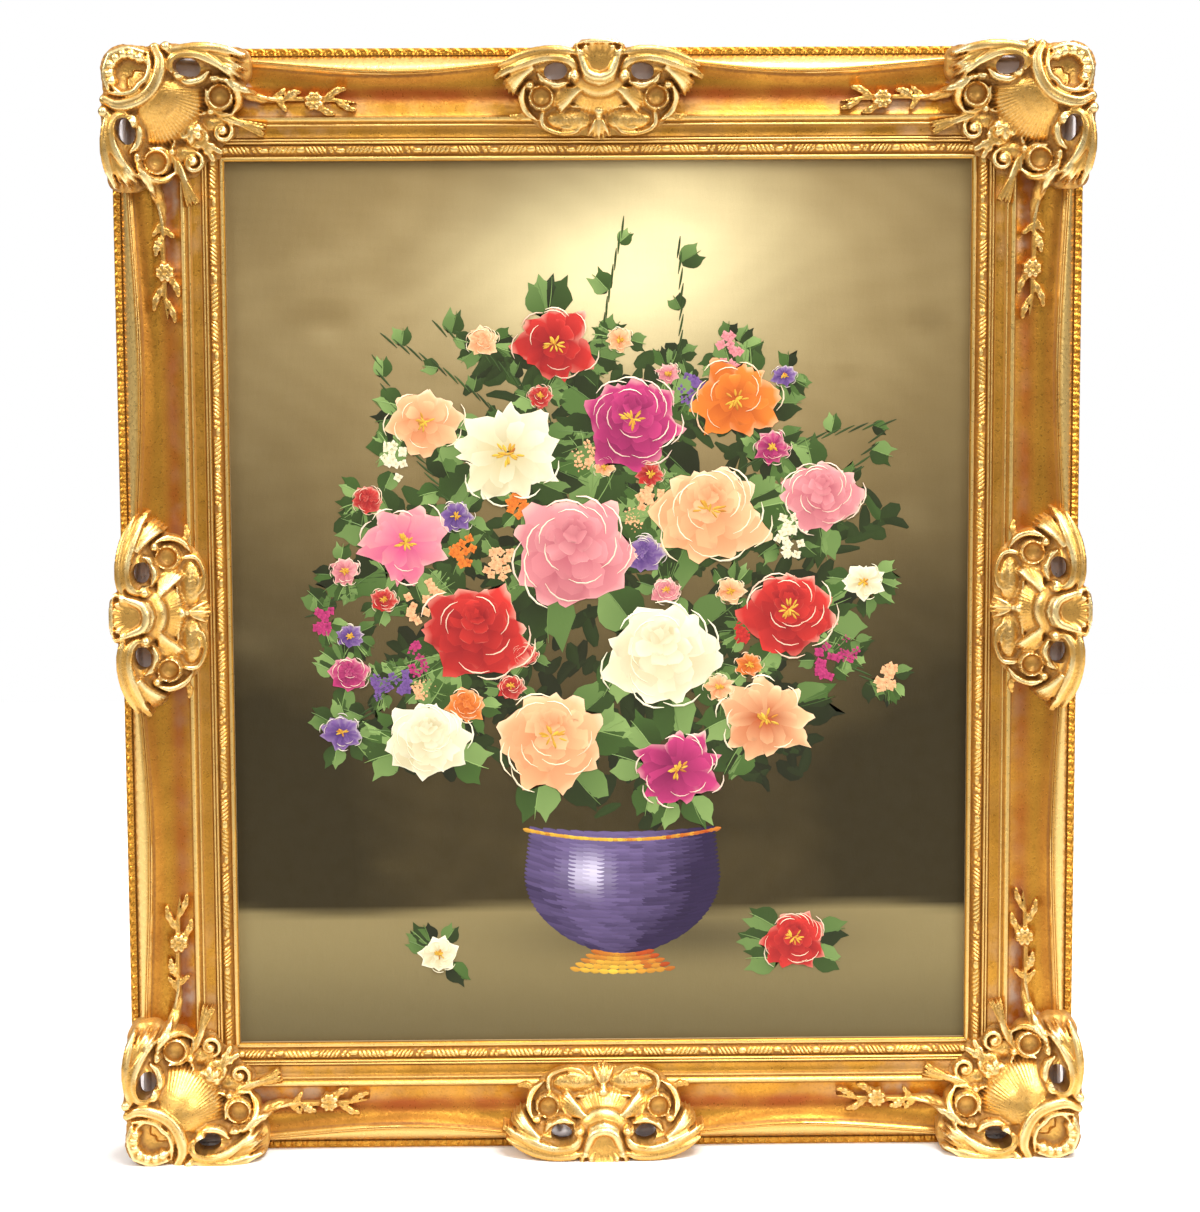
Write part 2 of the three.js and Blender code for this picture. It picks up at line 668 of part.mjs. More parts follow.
// Stretcher bars: bevelled so that the cloth touches their outer edge alone, mitred at the ends
function stretchers() {
  const fit = CLOTH + CONTACT_GAP;
  const front = CANVAS_FRONT - fit;
  const back = CANVAS_FRONT - CANVAS_DEPTH + fit;
  const section = [[0, front], [STRETCHER_WIDTH, front - STRETCHER_BEVEL], [STRETCHER_WIDTH, back], [0, back]];
  return SIDES.map(({ name, rail, turn }) => {
    const halfLength = rail.halfLength + REBATE_COVER - fit;
    const halfAcross = rail.halfAcross + REBATE_COVER - fit;
    const rings = [-1, 1].map((end) => section.map(([inward, height]) => (
      new THREE.Vector3(end * (halfLength - inward - MITRE_GAP / Math.SQRT2), halfAcross - inward, height))));
    const mesh = piece(`stretcher_${name}`, loft(rings), PINE);
    mesh.rotation.z = degToRad(turn);
    return mesh;
  });
}

// The picture stands upright with its back to the wall, its hanging point at the origin
const picture = new THREE.Group();
picture.add(...rails(), ...cornerOrnaments(), ...centreOrnaments(), canvas(), ...stretchers());
picture.rotation.x = Math.PI / 2;
picture.position.set(0, -RAIL_DEPTH, -(HALF_SIGHT.height + HANGING_POINT));

const framedPainting = new THREE.Group();
framedPainting.add(picture);

export default framedPainting;
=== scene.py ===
"""Looks of a framed painting: a gilt swept frame with cast ornaments around a floral still life.

Sizes are in millimetres in the picture's own plane: x to the right and y up from the middle of the
sight opening, z forward from the sight edge. `Picture.place` turns them into metres in the frame.
"""

import logging
import math
from dataclasses import dataclass, field
from enum import Enum

import bpy
import numpy as np
from mathutils import Matrix, Vector


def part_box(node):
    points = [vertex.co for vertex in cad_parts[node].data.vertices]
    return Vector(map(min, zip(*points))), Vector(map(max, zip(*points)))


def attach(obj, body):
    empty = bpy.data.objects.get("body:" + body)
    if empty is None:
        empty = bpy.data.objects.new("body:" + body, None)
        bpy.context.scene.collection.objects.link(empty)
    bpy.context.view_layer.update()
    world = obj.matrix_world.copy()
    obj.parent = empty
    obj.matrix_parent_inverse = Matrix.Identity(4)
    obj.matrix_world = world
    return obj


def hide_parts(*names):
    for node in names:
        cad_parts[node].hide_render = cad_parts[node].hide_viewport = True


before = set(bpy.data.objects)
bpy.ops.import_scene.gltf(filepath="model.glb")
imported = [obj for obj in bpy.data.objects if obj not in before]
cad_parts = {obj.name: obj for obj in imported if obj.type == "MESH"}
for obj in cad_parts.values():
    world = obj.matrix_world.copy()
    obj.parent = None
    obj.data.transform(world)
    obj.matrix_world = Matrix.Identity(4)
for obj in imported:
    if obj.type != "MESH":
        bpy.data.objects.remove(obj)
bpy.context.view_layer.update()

MM = 0.001
log = logging.getLogger("framed_painting")

Array = np.ndarray
Pair = tuple[float, float]
Triple = tuple[float, float, float]
Curve = list[Triple]
Socket = bpy.types.NodeSocket
Piece = bpy.types.Object


class Side(Enum):
    """A side of the frame, with the quarter turns that bring the top rail there."""

    TOP = 0
    LEFT = 1
    BOTTOM = 2
    RIGHT = 3

    @property
    def upright(self) -> bool:
        """True for the two upright sides."""
        return self in (Side.LEFT, Side.RIGHT)

    def turned(self, x: Array, y: Array) -> tuple[Array, Array]:
        """Turn places of the top side to this side."""
        for _ in range(self.value):
            x, y = -y, x
        return x, y


class Corner(Enum):
    """A corner of the frame, as the signs of its x and y."""

    TOP_LEFT = (-1, 1)
    TOP_RIGHT = (1, 1)
    BOTTOM_LEFT = (-1, -1)
    BOTTOM_RIGHT = (1, -1)


def smooth_step(low: float, high: float, x: Array) -> Array:
    """A soft step from 0 at low to 1 at high."""
    t = np.clip((x - low) / (high - low), 0.0, 1.0)
    return t * t * (3.0 - 2.0 * t)


def through(points: list[tuple[float, ...]], count: int) -> Array:
    """A smooth curve through points.

    Args:
        points: places that the curve passes, in any number of dimensions.
        count: how many samples to take along it.

    Returns:
        The samples, one row each.
    """
    p = np.array(points, float)
    p = np.vstack([2 * p[0] - p[1], p, 2 * p[-1] - p[-2]])
    u = np.linspace(0, len(points) - 1 - 1e-9, count)
    i = u.astype(int)
    t = (u - i)[:, None]
    p0, p1, p2, p3 = p[i], p[i + 1], p[i + 2], p[i + 3]
    return 0.5 * (2 * p1 + (p2 - p0) * t + (2 * p0 - 5 * p1 + 4 * p2 - p3) * t**2
                  + (3 * p1 - p0 - 3 * p2 + p3) * t**3)


def on_circle(centre: Pair, radius: float, turn: float) -> Pair:
    """The place on a circle at a turn in radians."""
    return centre[0] + radius * math.cos(turn), centre[1] + radius * math.sin(turn)


def deselect_all() -> None:
    """Leave nothing selected, so that an operator acts on its own piece alone."""
    if bpy.context.object and bpy.context.object.mode != "OBJECT":
        bpy.ops.object.mode_set(mode="OBJECT")
    bpy.ops.object.select_all(action="DESELECT")


def activate(piece: Piece) -> None:
    """Select one piece alone and make it the active one."""
    deselect_all()
    piece.select_set(True)
    bpy.context.view_layer.objects.active = piece


def new_piece(name: str, points: Array, faces: list) -> Piece:
    """Make a mesh object from points in metres and faces as index lists."""
    mesh = bpy.data.meshes.new(name)
    mesh.from_pydata(points.tolist(), [], faces)
    mesh.update()
    piece = bpy.data.objects.new(name, mesh)
    bpy.context.scene.collection.objects.link(piece)
    return piece


def soften(piece: Piece, degrees: float) -> None:
    """Shade a piece smooth, with creases where faces meet at more than an angle."""
    activate(piece)
    bpy.ops.object.shade_smooth_by_angle(angle=math.radians(degrees))


def set_attribute(piece: Piece, name: str, values: Array) -> None:
    """Store one number for each vertex of a piece under a name."""
    attribute = piece.data.attributes.new(name, "FLOAT", "POINT")
    attribute.data.foreach_set("value", values.astype(np.float32))


def loft_faces(stations: int, count: int, flip: bool) -> list:
    """Faces of a closed skin over rings of equal counts, with its two ends capped.

    Args:
        stations: how many rings there are.
        count: how many points each ring has.
        flip: True to turn the faces the other way.

    Returns:
        The faces as lists of indices, ring by ring.
    """
    r, i = np.meshgrid(np.arange(stations - 1), np.arange(count), indexing="ij")
    j = (i + 1) % count
    quads = np.stack([r * count + i, r * count + j, (r + 1) * count + j, (r + 1) * count + i], -1)
    quads = quads.reshape(-1, 4)
    faces = (quads[:, ::-1] if flip else quads).tolist()
    first = list(range(count))
    last = [(stations - 1) * count + k for k in range(count)]
    faces += [first, last[::-1]] if flip else [first[::-1], last]
    return faces


@dataclass(frozen=True)
class Picture:
    """The picture's plane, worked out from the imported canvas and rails, in millimetres."""

    half_width: float
    half_height: float
    rail_width: float
    rail_depth: float
    canvas_front: float
    middle: float

    @classmethod
    def from_frame(cls) -> "Picture":
        """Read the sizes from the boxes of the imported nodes."""
        right, top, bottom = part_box("rail_right"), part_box("rail_top"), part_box("rail_bottom")
        lip = 4.3
        canvas_front = -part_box("canvas")[0].y / MM
        return cls(
            half_width=right[0].x / MM,
            half_height=(top[0].z - bottom[1].z) / 2 / MM,
            rail_width=(right[1].x - right[0].x) / MM,
            rail_depth=canvas_front + lip,
            canvas_front=-lip,
            middle=(top[0].z + bottom[1].z) / 2 / MM,
        )

    def half(self, upright: bool) -> float:
        """Half the sight opening, upright or across."""
        return self.half_height if upright else self.half_width

    def place(self, points: Array) -> Array:
        """Turn picture-plane millimetres into metres in the row frame."""
        x, y, z = points[..., 0], points[..., 1], points[..., 2]
        return np.stack([x, -z - self.rail_depth, y + self.middle], -1) * MM


@dataclass(frozen=True)
class RailProfile:
    """The swept moulding in section: distance outward from the sight edge, and height above it."""

    width: float
    depth: float
    rebate: float = 6.0
    lip: float = 4.0
    bead_width: float = 5.0
    bead_seat: float = 1.6
    shoulder: Pair = (6.4, 9.2)
    crest: Pair = (7.2, 10.4)
    skew: float = 1.2

    def share(self, from_middle: Array, half_outer: float) -> Array:
        """How far the ridge has widened, from 0 by the ornaments to 1 midway between them."""
        reach = np.clip((half_outer - np.abs(from_middle)) / half_outer, 0, 1)
        return np.sin(np.pi * reach**self.skew) ** 2

    def face(self, share: float, narrow: float, swell: float) -> tuple[Array, Array]:
        """The carved face at one station.

        Args:
            share: how far the ridge has widened there, from 0 to 1.
            narrow: width of the outer band where it is narrowest.
            swell: how much wider it grows.

        Returns:
            Distances outward and heights, sight edge first.
        """
        edge = self.width - narrow - swell * share
        start = self.width - self.bead_width
        shoulder = self.shoulder[0] + (self.shoulder[1] - self.shoulder[0]) * share
        crest = self.crest[0] + (self.crest[1] - self.crest[0]) * share
        parts: list[tuple[Array, Array]] = []

        def run(from_: Pair, to: Pair, swell_: float, steps: int) -> None:
            """Add a bowed stretch of the section."""
            t = np.linspace(0, 1, steps, endpoint=False)
            rise = 4 * swell_ * t * (1 - t)
            parts.append((from_[0] + (to[0] - from_[0]) * t, from_[1] + (to[1] - from_[1]) * t + rise))

        run((0.0, 0.0), (0.4, 0.7), 0.1, 2)
        run((0.4, 0.7), (3.4, 0.8), 0.45, 6)
        run((3.7, 0.1), (4.2, 0.6), 0.0, 2)
        run((4.2, 0.4), (10.4, 2.2), 1.0, 7)
        run((10.7, 1.7), (11.2, 3.2), 0.0, 2)
        run((11.2, 3.5), (13.1, 3.7), 0.85, 6)
        run((13.1, 3.5), (15.0, 3.7), 0.85, 6)
        run((15.1, 3.4), (15.6, 3.9), 0.0, 2)
        run((15.6, 4.1), (22.3, 4.7), -0.35, 6)
        run((22.5, 4.9), (24.3, 5.0), 0.45, 5)
        run((24.5, 4.5), (25.9, 4.6), 0.0, 2)
        run((26.0, 5.3), (27.4, 6.3), 0.15, 4)
        run((27.4, 6.3), (29.2, 6.4), 0.2, 4)
        run((29.3, 5.9), (34.0, 4.3), -0.15, 5)
        run((34.0, 4.3), (48.5, 4.3), -1.2, 12)
        run((48.5, 4.3), (edge, shoulder), -0.5 - 0.5 * (1 - share), 10)
        width = start - edge
        lip_share = min(1.0, width / 7.0)
        for offset, drop in ((0.15, -0.9), (0.6, -0.2), (1.1, 0.0), (1.4, -0.55), (1.7, -0.05),
                             (2.3, 0.0), (2.65, -0.6), (3.0, -0.15)):
            parts.append((np.array([edge + offset * lip_share]), np.array([crest + drop])))
        t = np.linspace(0, 1, 10)
        slope_start = edge + 3.4 * lip_share
        top = crest - 0.2
        parts.append((slope_start + (start - 0.5 - slope_start) * t,
                      self.bead_seat + 0.3 + (top - self.bead_seat - 0.3) * (1 - t**1.5)))
        parts.append((np.array([start - 0.1, start + 0.3, self.width - 0.5, self.width]),
                      np.array([1.0, 0.7, 0.9, 0.4])))
        return np.concatenate([p[0] for p in parts]), np.concatenate([p[1] for p in parts])

    def table(self, narrow: float, swell: float) -> "HeightTable":
        """The face's height for every distance and share, to look up."""
        shares = np.linspace(0, 1, 21)
        outward = np.arange(0.0, self.width + 0.01, 0.5)
        rows = [np.interp(outward, *self.face(s, narrow, swell)) for s in shares]
        return HeightTable(outward, shares, np.array(rows))


@dataclass(frozen=True)
class HeightTable:
    """Heights of a rail's face by share and distance outward."""

    outward: Array
    shares: Array
    heights: Array

    def at(self, outward: Array, share: Array) -> Array:
        """The face's height at each distance outward and share."""
        i = np.clip(outward / (self.outward[1] - self.outward[0]), 0, len(self.outward) - 1.001)
        j = np.clip(share * (len(self.shares) - 1), 0, len(self.shares) - 1.001)
        i0, j0 = i.astype(int), j.astype(int)
        di, dj = i - i0, j - j0
        h = self.heights
        low = h[j0, i0] * (1 - di) + h[j0, i0 + 1] * di
        high = h[j0 + 1, i0] * (1 - di) + h[j0 + 1, i0 + 1] * di
        return low * (1 - dj) + high * dj


@dataclass
class Rail:
    """One mitred rail: the swept moulding, its leaf carving at the sight edge and its outer beads."""

    picture: Picture
    profile: RailProfile
    side: Side
    body_pitch: float = 5.0
    carving_pitch: float = 0.8
    bead_pitch: float = 7.6
    leaf_repeat: float = 51.0
    mitre_gap: float = 0.2
    sweeps: dict[bool, Pair] = field(
        default_factory=lambda: {False: (7.5, 10.5), True: (11.0, 7.0)})

    @property
    def half_length(self) -> float:
        """Half the sight edge's length."""
        return self.picture.half(self.side.upright)

    @property
    def half_across(self) -> float:
        """Distance from the picture's middle to the sight edge."""
        return self.picture.half(not self.side.upright)

    @property
    def half_outer(self) -> float:
        """Half the rail's outer length."""
        return self.half_length + self.profile.width

    def stations(self, pitch: float) -> Array:
        """Places along the rail, from end to end, as signed shares of its outer half length."""
        count = int(round(2 * self.half_outer / pitch))
        return np.linspace(-1, 1, count + 1)

    def turned(self, along: Array, outward: Array, height: Array) -> Array:
        """Set points of the top rail on this side, in metres."""
        x, y = self.side.turned(along, self.half_across + outward)
        return self.picture.place(np.stack([x, y, height], -1))

    def loft(self, name: str, shares: Array, rings: list[tuple[Array, Array]]) -> Piece:
        """Skin over one section for each station, mitred at both ends."""
        outward = np.array([r[0] for r in rings])
        height = np.array([r[1] for r in rings])
        along = shares[:, None] * (self.half_length + outward - self.mitre_gap)
        points = self.turned(along, outward, height).reshape(-1, 3)
        return new_piece(name, points, loft_faces(len(shares), outward.shape[1], True))

    def moulding(self) -> Piece:
        """The swept body with its plain members, back and rebate."""
        shares = self.stations(self.body_pitch)
        narrow, swell = self.sweeps[self.side.upright]
        back = [(self.profile.width, -self.profile.depth), (self.profile.width - 0.6, -self.profile.depth),
                (self.profile.rebate, -self.profile.depth),
                (self.profile.rebate, -self.profile.lip), (0.0, -self.profile.lip)]
        rings = []
        for share in shares:
            e, z = self.profile.face(float(self.profile.share(share * self.half_outer, self.half_outer)),
                                     narrow, swell)
            rings.append((np.append(e, [p[0] for p in back]), np.append(z, [p[1] for p in back])))
        return self.loft(f"moulding_{self.side.name.lower()}", shares, rings)

    def leaf_height(self, along: Array, across: Array) -> Array:
        """Height of the running leaf carving above its bed.

        Args:
            along: distance along the rail.
            across: place across the member, from 0 at the sight side to 1.

        Returns:
            The carved height.
        """
        s = np.mod(along, self.leaf_repeat)
        crown = np.sqrt(np.clip(1 - (2 * across - 1) ** 2, 0, 1))

        def fingers(low: float, high: float, pitch: float, slant: float) -> Array:
            """A run of slanted leaf fingers."""
            wave = np.abs(np.sin(np.pi * (s - low + slant * (across - 0.5)) / pitch))
            start, stop = smooth_step(low - 0.4, low + 0.6, s), smooth_step(high - 0.6, high + 0.4, s)
            return wave**0.8 * start * (1 - stop)

        def bud(at: float, reach: float, place: float, tall: float) -> Array:
            """A round bud or dot."""
            d = ((s - at) / reach) ** 2 + ((across - place) / tall) ** 2
            return np.sqrt(np.clip(1 - d, 0, 1))

        relief = np.maximum.reduce([
            fingers(6.0, 24.0, 3.0, 4.5), fingers(37.0, 51.0, 2.8, -4.5),
            bud(3.0, 3.0, 0.5, 0.48), bud(27.5, 3.4, 0.35, 0.3), bud(31.0, 1.3, 0.72, 0.22),
            bud(33.4, 1.3, 0.3, 0.22), bud(34.4, 1.4, 0.7, 0.24)])
        return crown * (0.35 + 1.15 * relief)

    def sight_carving(self) -> Piece:
        """The narrow leaf carving beside the sight edge."""
        low, high, count = 4.15, 10.75, 10
        shares = self.stations(self.carving_pitch)
        across = np.linspace(0, 1, count)
        e = low + (high - low) * across
        bed = 0.45 + (2.2 - 0.4) * across + 4 * 0.9 * across * (1 - across)
        rings = []
        for share in shares:
            along = share * (self.half_length + e)
            z = bed + self.leaf_height(np.abs(along) + 9.0, across)
            rings.append((np.concatenate([e, [high, low]]), np.concatenate([z, [0.6, -0.6]])))
        return self.loft(f"leaf_carving_{self.side.name.lower()}", shares, rings)

    def bead_height(self, along: Array, across: Array) -> Array:
        """Height of the row of rounded scallops, each closed on its outer side."""
        cell = np.mod(along, self.bead_pitch) - self.bead_pitch / 2
        past = np.clip(across - 0.4, 0, 1) / 0.52
        d = np.sqrt((cell / (0.44 * self.bead_pitch)) ** 2 + past**2)
        rim = np.exp(-(((d - 0.72) / 0.22) ** 2))
        kernel = np.exp(-((cell / 0.9) ** 2 + ((across - 0.3) / 0.3) ** 2))
        return 0.5 + 1.15 * rim + 0.7 * kernel * (d < 0.6)

    def outer_beads(self) -> Piece:
        """The row of beads along the outer edge."""
        low, high, count = self.profile.width - 4.7, self.profile.width, 9
        shares = self.stations(self.bead_pitch / 9)
        across = np.linspace(0, 1, count)
        e = low + (high - low) * across
        rings = []
        for share in shares:
            along = share * (self.half_length + e)
            z = 0.9 + self.bead_height(np.abs(along), across)
            rings.append((np.concatenate([e, [high, low]]), np.concatenate([z, [0.2, 0.2]])))
        return self.loft(f"beads_{self.side.name.lower()}", shares, rings)

    def build(self) -> Piece:
        """Join the moulding and its carved members into one piece with its tones."""
        parts = [self.moulding(), self.sight_carving(), self.outer_beads()]
        activate(parts[0])
        for part in parts[1:]:
            part.select_set(True)
        bpy.ops.object.join()
        rail = parts[0]
        rail.name = f"gilt_rail_{self.side.name.lower()}"
        soften(rail, 42)
        self.tone(rail)
        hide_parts(f"rail_{self.side.name.lower()}")
        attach(rail, "root")
        return rail

    def tone(self, rail: Piece) -> None:
        """Store where the bole shows, partly as a painted reflection in the cove, where the wash lies, where
        pale painted light stands under the holes, where dirt and painted shade darken the hollows and where
        rubbing and painted highlights lighten the crests.
        """
        co = np.empty(len(rail.data.vertices) * 3)
        rail.data.vertices.foreach_get("co", co)
        co = co.reshape(-1, 3) / MM
        x, y = co[:, 0], co[:, 2] - self.picture.middle
        for _ in range(self.side.value):
            x, y = y, -x
        outward, height = y - self.half_across, -co[:, 1] - self.picture.rail_depth
        narrow, swell = self.sweeps[self.side.upright]
        share = self.profile.share(x, self.half_outer)
        edge = self.profile.width - narrow - swell * share

        def band(low: Array | float, high: Array | float, soft: float) -> Array:
            """1 between two distances outward, falling off softly."""
            rise = np.clip((outward - low) / soft + 0.5, 0, 1)
            fall = np.clip((high - outward) / soft + 0.5, 0, 1)
            return rise * fall

        # The bole band in the cove is partly a painted reflection, weaker on the uprights.
        hollow = 0.75 * band(32.0, 42.0, 7.0) if self.side.upright else band(38.5, 48.0, 5.0)
        bole = np.maximum(hollow, 0.35 * band(edge - 7, edge - 1, 4.0))
        from_end = self.half_outer - np.abs(x)
        beside = np.maximum(0.7 * (1 - smooth_step(95, 190, from_end)),
                            0.12 * (1 - smooth_step(62, 100, np.abs(x))))
        wash_and_hole_light = np.maximum(band(15.4, 22.4, 1.5) * 0.35, band(29.6, 40.0, 5.0)) * (0.08 + 0.92 * beside)
        # Pale painted light on the rail under the castings' holes, where the lit wall would show through.
        wash_and_hole_light = np.maximum(wash_and_hole_light, 2.0 * ((from_end < 90) | (np.abs(x) < 42)) * band(47.0, 72.0, 1.0))
        # Painted shade, with toning, in the grooves, at the foot of the ridge, between the beads and low in
        # the carving.
        grooves = [3.8, 10.9, 13.1, 15.2, 22.4, 25.2, 29.4]
        recess = np.maximum.reduce([band(g - 0.35, g + 0.35, 0.7) for g in grooves])
        recess = np.maximum(recess, band(edge - 1.6, edge + 0.1, 1.4))
        recess = np.maximum(recess, band(self.profile.width - 5.4, self.profile.width - 4.6, 0.6))
        carved = band(4.2, 10.8, 0.3) * np.clip(1.9 - (height - 0.45 - (outward - 4.2) * 0.29), 0, 1)
        beads = 0.6 * band(self.profile.width - 4.8, self.profile.width + 1, 0.3)
        beads = beads * np.clip(1.5 - height, 0, 1)
        recess = np.maximum.reduce([recess, carved, beads])
        # Painted highlights, with rubbing, on crests, carving tips and the outer slope.
        crests = [(edge + 0.3, edge + 1.2), (edge + 1.7, edge + 3.2), (26.4, 28.6), (11.7, 12.7),
                  (13.6, 14.6), (1.0, 3.0), (22.8, 24.0)]
        rubbed_and_highlight = np.maximum.reduce([band(low, high, 0.5) for low, high in crests])
        tips = band(4.2, 10.8, 0.3) * np.clip((height - 2.1 - (outward - 4.2) * 0.2) / 0.5, 0, 1)
        slope = band(edge + 3.4, self.profile.width - 5.5, 2.0) * 0.95
        recess = np.where(recess > 0.15, recess, -1.3 * np.maximum.reduce([rubbed_and_highlight, tips, slope]))
        # The back, the outer side and the sight face are set a fixed amount darker.
        hidden = (height < -0.5) | (outward < 0.05)
        set_attribute(rail, "bole", np.where(hidden, 0.0, bole))
        set_attribute(rail, "wash_and_hole_light", np.where(hidden, 0.0, wash_and_hole_light))
        set_attribute(rail, "recess", np.where(hidden, 0.6, recess))
        set_attribute(rail, "bare",
                      ((height < -self.profile.lip + 0.5) & (outward < self.profile.width - 0.5)) * 1.0)


class Relief:
    """A carved surface held as heights over a grid of two distances in millimetres.

    For a corner the distances run in from the frame's two outer edges. For a centre ornament they
    run along the rail from its middle and in from its outer edge.
    """

    def __init__(self, low: Pair, high: Pair, pitch: float, seed: int) -> None:
        """Set out an empty grid between two corners."""
        self.pitch = pitch
        self.low = low
        self.a, self.b = np.meshgrid(np.arange(low[0], high[0], pitch), np.arange(low[1], high[1], pitch),
                                     indexing="ij")
        self.height = np.full(self.a.shape, -50.0)
        self.solid = np.zeros(self.a.shape, bool)
        self.rng = np.random.default_rng(seed)

    def window(self, a: float, b: float, reach: Pair) -> tuple[slice, slice]:
        """The part of the grid within a reach of a place."""
        def run(at: float, reach_: float, low: float) -> slice:
            """The steps of one distance within the reach."""
            first = int((at - reach_ - low) / self.pitch)
            last = int((at + reach_ - low) / self.pitch) + 2
            return slice(max(first, 0), max(last, 0))

        return run(a, reach[0], self.low[0]), run(b, reach[1], self.low[1])

    def around(self, centre: Pair, reach: Pair) -> tuple:
        """The part of the grid near a place, and its distances from there."""
        where = self.window(centre[0], centre[1], reach)
        return where, self.a[where] - centre[0], self.b[where] - centre[1]

    def raise_to(self, where: tuple[slice, slice], height: Array, inside: Array) -> None:
        """Lift the surface to a height inside a region, and count the region as solid."""
        self.height[where] = np.where(inside, np.maximum(self.height[where], height), self.height[where])
        self.solid[where] |= inside

    def near(self, path: Array, reach: float) -> tuple:
        """Find the nearest place of a path for the grid around it.

        Args:
            path: samples along the path, as along, inward and height.
            reach: how far from the path to look.

        Returns:
            The window of the grid, the place along the path from 0 to 1, the signed distance from
            it, and the path's height there.
        """
        middle, half = (path.min(0) + path.max(0)) / 2, (path.max(0) - path.min(0)) / 2
        where = self.window(middle[0], middle[1], (half[0] + reach, half[1] + reach))
        a, b = self.a[where], self.b[where]
        d2 = (a[..., None] - path[:, 0]) ** 2 + (b[..., None] - path[:, 1]) ** 2
        k = d2.argmin(-1)
        tangent = np.gradient(path[:, :2], axis=0)
        tangent /= np.linalg.norm(tangent, axis=1, keepdims=True) + 1e-9
        offset_a, offset_b = a - path[k, 0], b - path[k, 1]
        side = offset_a * tangent[k, 1] - offset_b * tangent[k, 0]
        distance = np.sqrt(d2.min(-1))
        return where, k / (len(path) - 1), np.where(side < 0, -distance, distance), path[k, 2]

    def strap(self, points: Curve, radius: float, flutes: int = 0,
              taper: Pair = (0.5, 0.5), crown: float = 1.0) -> None:
        """Lay a rounded strap along a curve.

        Args:
            points: places of its crest.
            radius: its half width.
            flutes: how many grooves run along it.
            taper: share of the half width left at its start and end.
            crown: how high it stands, as a share of its half width.
        """
        where, t, d, h = self.near(through(points, 24 * len(points)), radius)
        grow = taper[0] + (1 - taper[0]) * smooth_step(0, 0.3, t)
        fade = taper[1] + (1 - taper[1]) * smooth_step(1, 0.7, t)
        r = radius * np.minimum(grow, fade)
        u = np.clip(d / r, -1, 1)
        z = h - crown * r * (1 - np.sqrt(1 - u**2))
        if flutes:
            z = z - 0.55 * (0.5 + 0.5 * np.cos(2 * np.pi * flutes * (u + 1) / 2)) * (np.abs(u) < 0.93)
        self.raise_to(where, z, np.abs(d) < r)

    def leaf(self, points: Curve, width: float, lobes: int = 4,
             thickness: float = 2.6) -> None:
        """Lay a lobed leaf with a sunk vein along a curve.

        Args:
            points: places of its middle vein.
            width: its greatest half width.
            lobes: how many lobes each edge has.
            thickness: how far its crown stands over its edge.
        """
        where, t, d, h = self.near(through(points, 24 * len(points)), width * 1.2)
        outline = np.sin(np.pi * np.clip(0.06 + 0.94 * t, 0, 1) ** 0.75) ** 0.75
        lobe = 1 - 0.24 * (1 - np.abs(np.sin(np.pi * (lobes * t + 0.25)))) ** 1.5
        r = width * np.maximum(outline * lobe, 0.05)
        u = np.clip(np.abs(d) / r, 0, 1)
        ribs = 0.42 * np.cos(2 * np.pi * (lobes * t - 0.55 * u)) * smooth_step(0.1, 0.5, u)
        z = h - thickness * u**2.2 - 0.75 * np.exp(-((d / 0.55) ** 2)) + ribs
        self.raise_to(where, z, np.abs(d) < r)

    def bundle(self, points: Curve, spread: float, count: int, radius: float) -> None:
        """Lay long leaf fingers that part from one another along a curve."""
        path = np.array(points, float)
        for k in range(count):
            place = (k / (count - 1) - 0.5) * 2
            normal = np.array([-(path[-1, 1] - path[0, 1]), path[-1, 0] - path[0, 0]])
            normal /= np.linalg.norm(normal)
            grow = np.linspace(0.25, 1.0, len(points))[:, None]
            finger = path.copy()
            finger[:, :2] += normal * place * spread * grow
            finger[-1, :2] -= (path[-1, :2] - path[-2, :2]) * 0.3 * abs(place)
            finger[:, 2] -= 1.2 * abs(place) * grow[:, 0]
            self.strap([tuple(p) for p in finger], radius, 0, (0.7, 0.25), 1.1)

    def fan(self, focus: Pair, turn: float, half_angle: float, inner: float, outer: float,
            ribs: int, high: float, low: float, depth: float = 0.9, bow: float = 0.0) -> None:
        """Lay a ribbed shell around a focus.

        Args:
            focus: where its ribs would meet.
            turn: the way it faces, in degrees from the first distance towards the second.
            half_angle: half the angle it spans, in degrees.
            inner: where its ribs start.
            outer: where they end.
            ribs: how many ribs it has.
            high: its height at the inner end.
            low: its height at the outer end.
            depth: depth of its flutes.
            bow: how far it bulges between its ends.
        """
        where, a, b = self.around(focus, (outer * 1.05, outer * 1.05))
        r = np.hypot(a, b)
        angle = np.degrees(np.arctan2(b, a)) - turn
        angle = (angle + 180) % 360 - 180
        phase = (angle + half_angle) / (2 * half_angle) * ribs
        wave = np.abs(np.sin(np.pi * phase))
        edge = outer * (0.95 + 0.07 * wave)
        t = np.clip((r - inner) / (outer - inner), 0, 1)
        z = high + (low - high) * t**1.3 + bow * 4 * t * (1 - t)
        z = z + depth * (wave - 0.6) * smooth_step(0, 0.3, t)
        z = z - 1.5 * smooth_step(0.9, 1.0, r / edge)
        self.raise_to(where, z, (np.abs(angle) < half_angle) & (r > inner) & (r < edge))

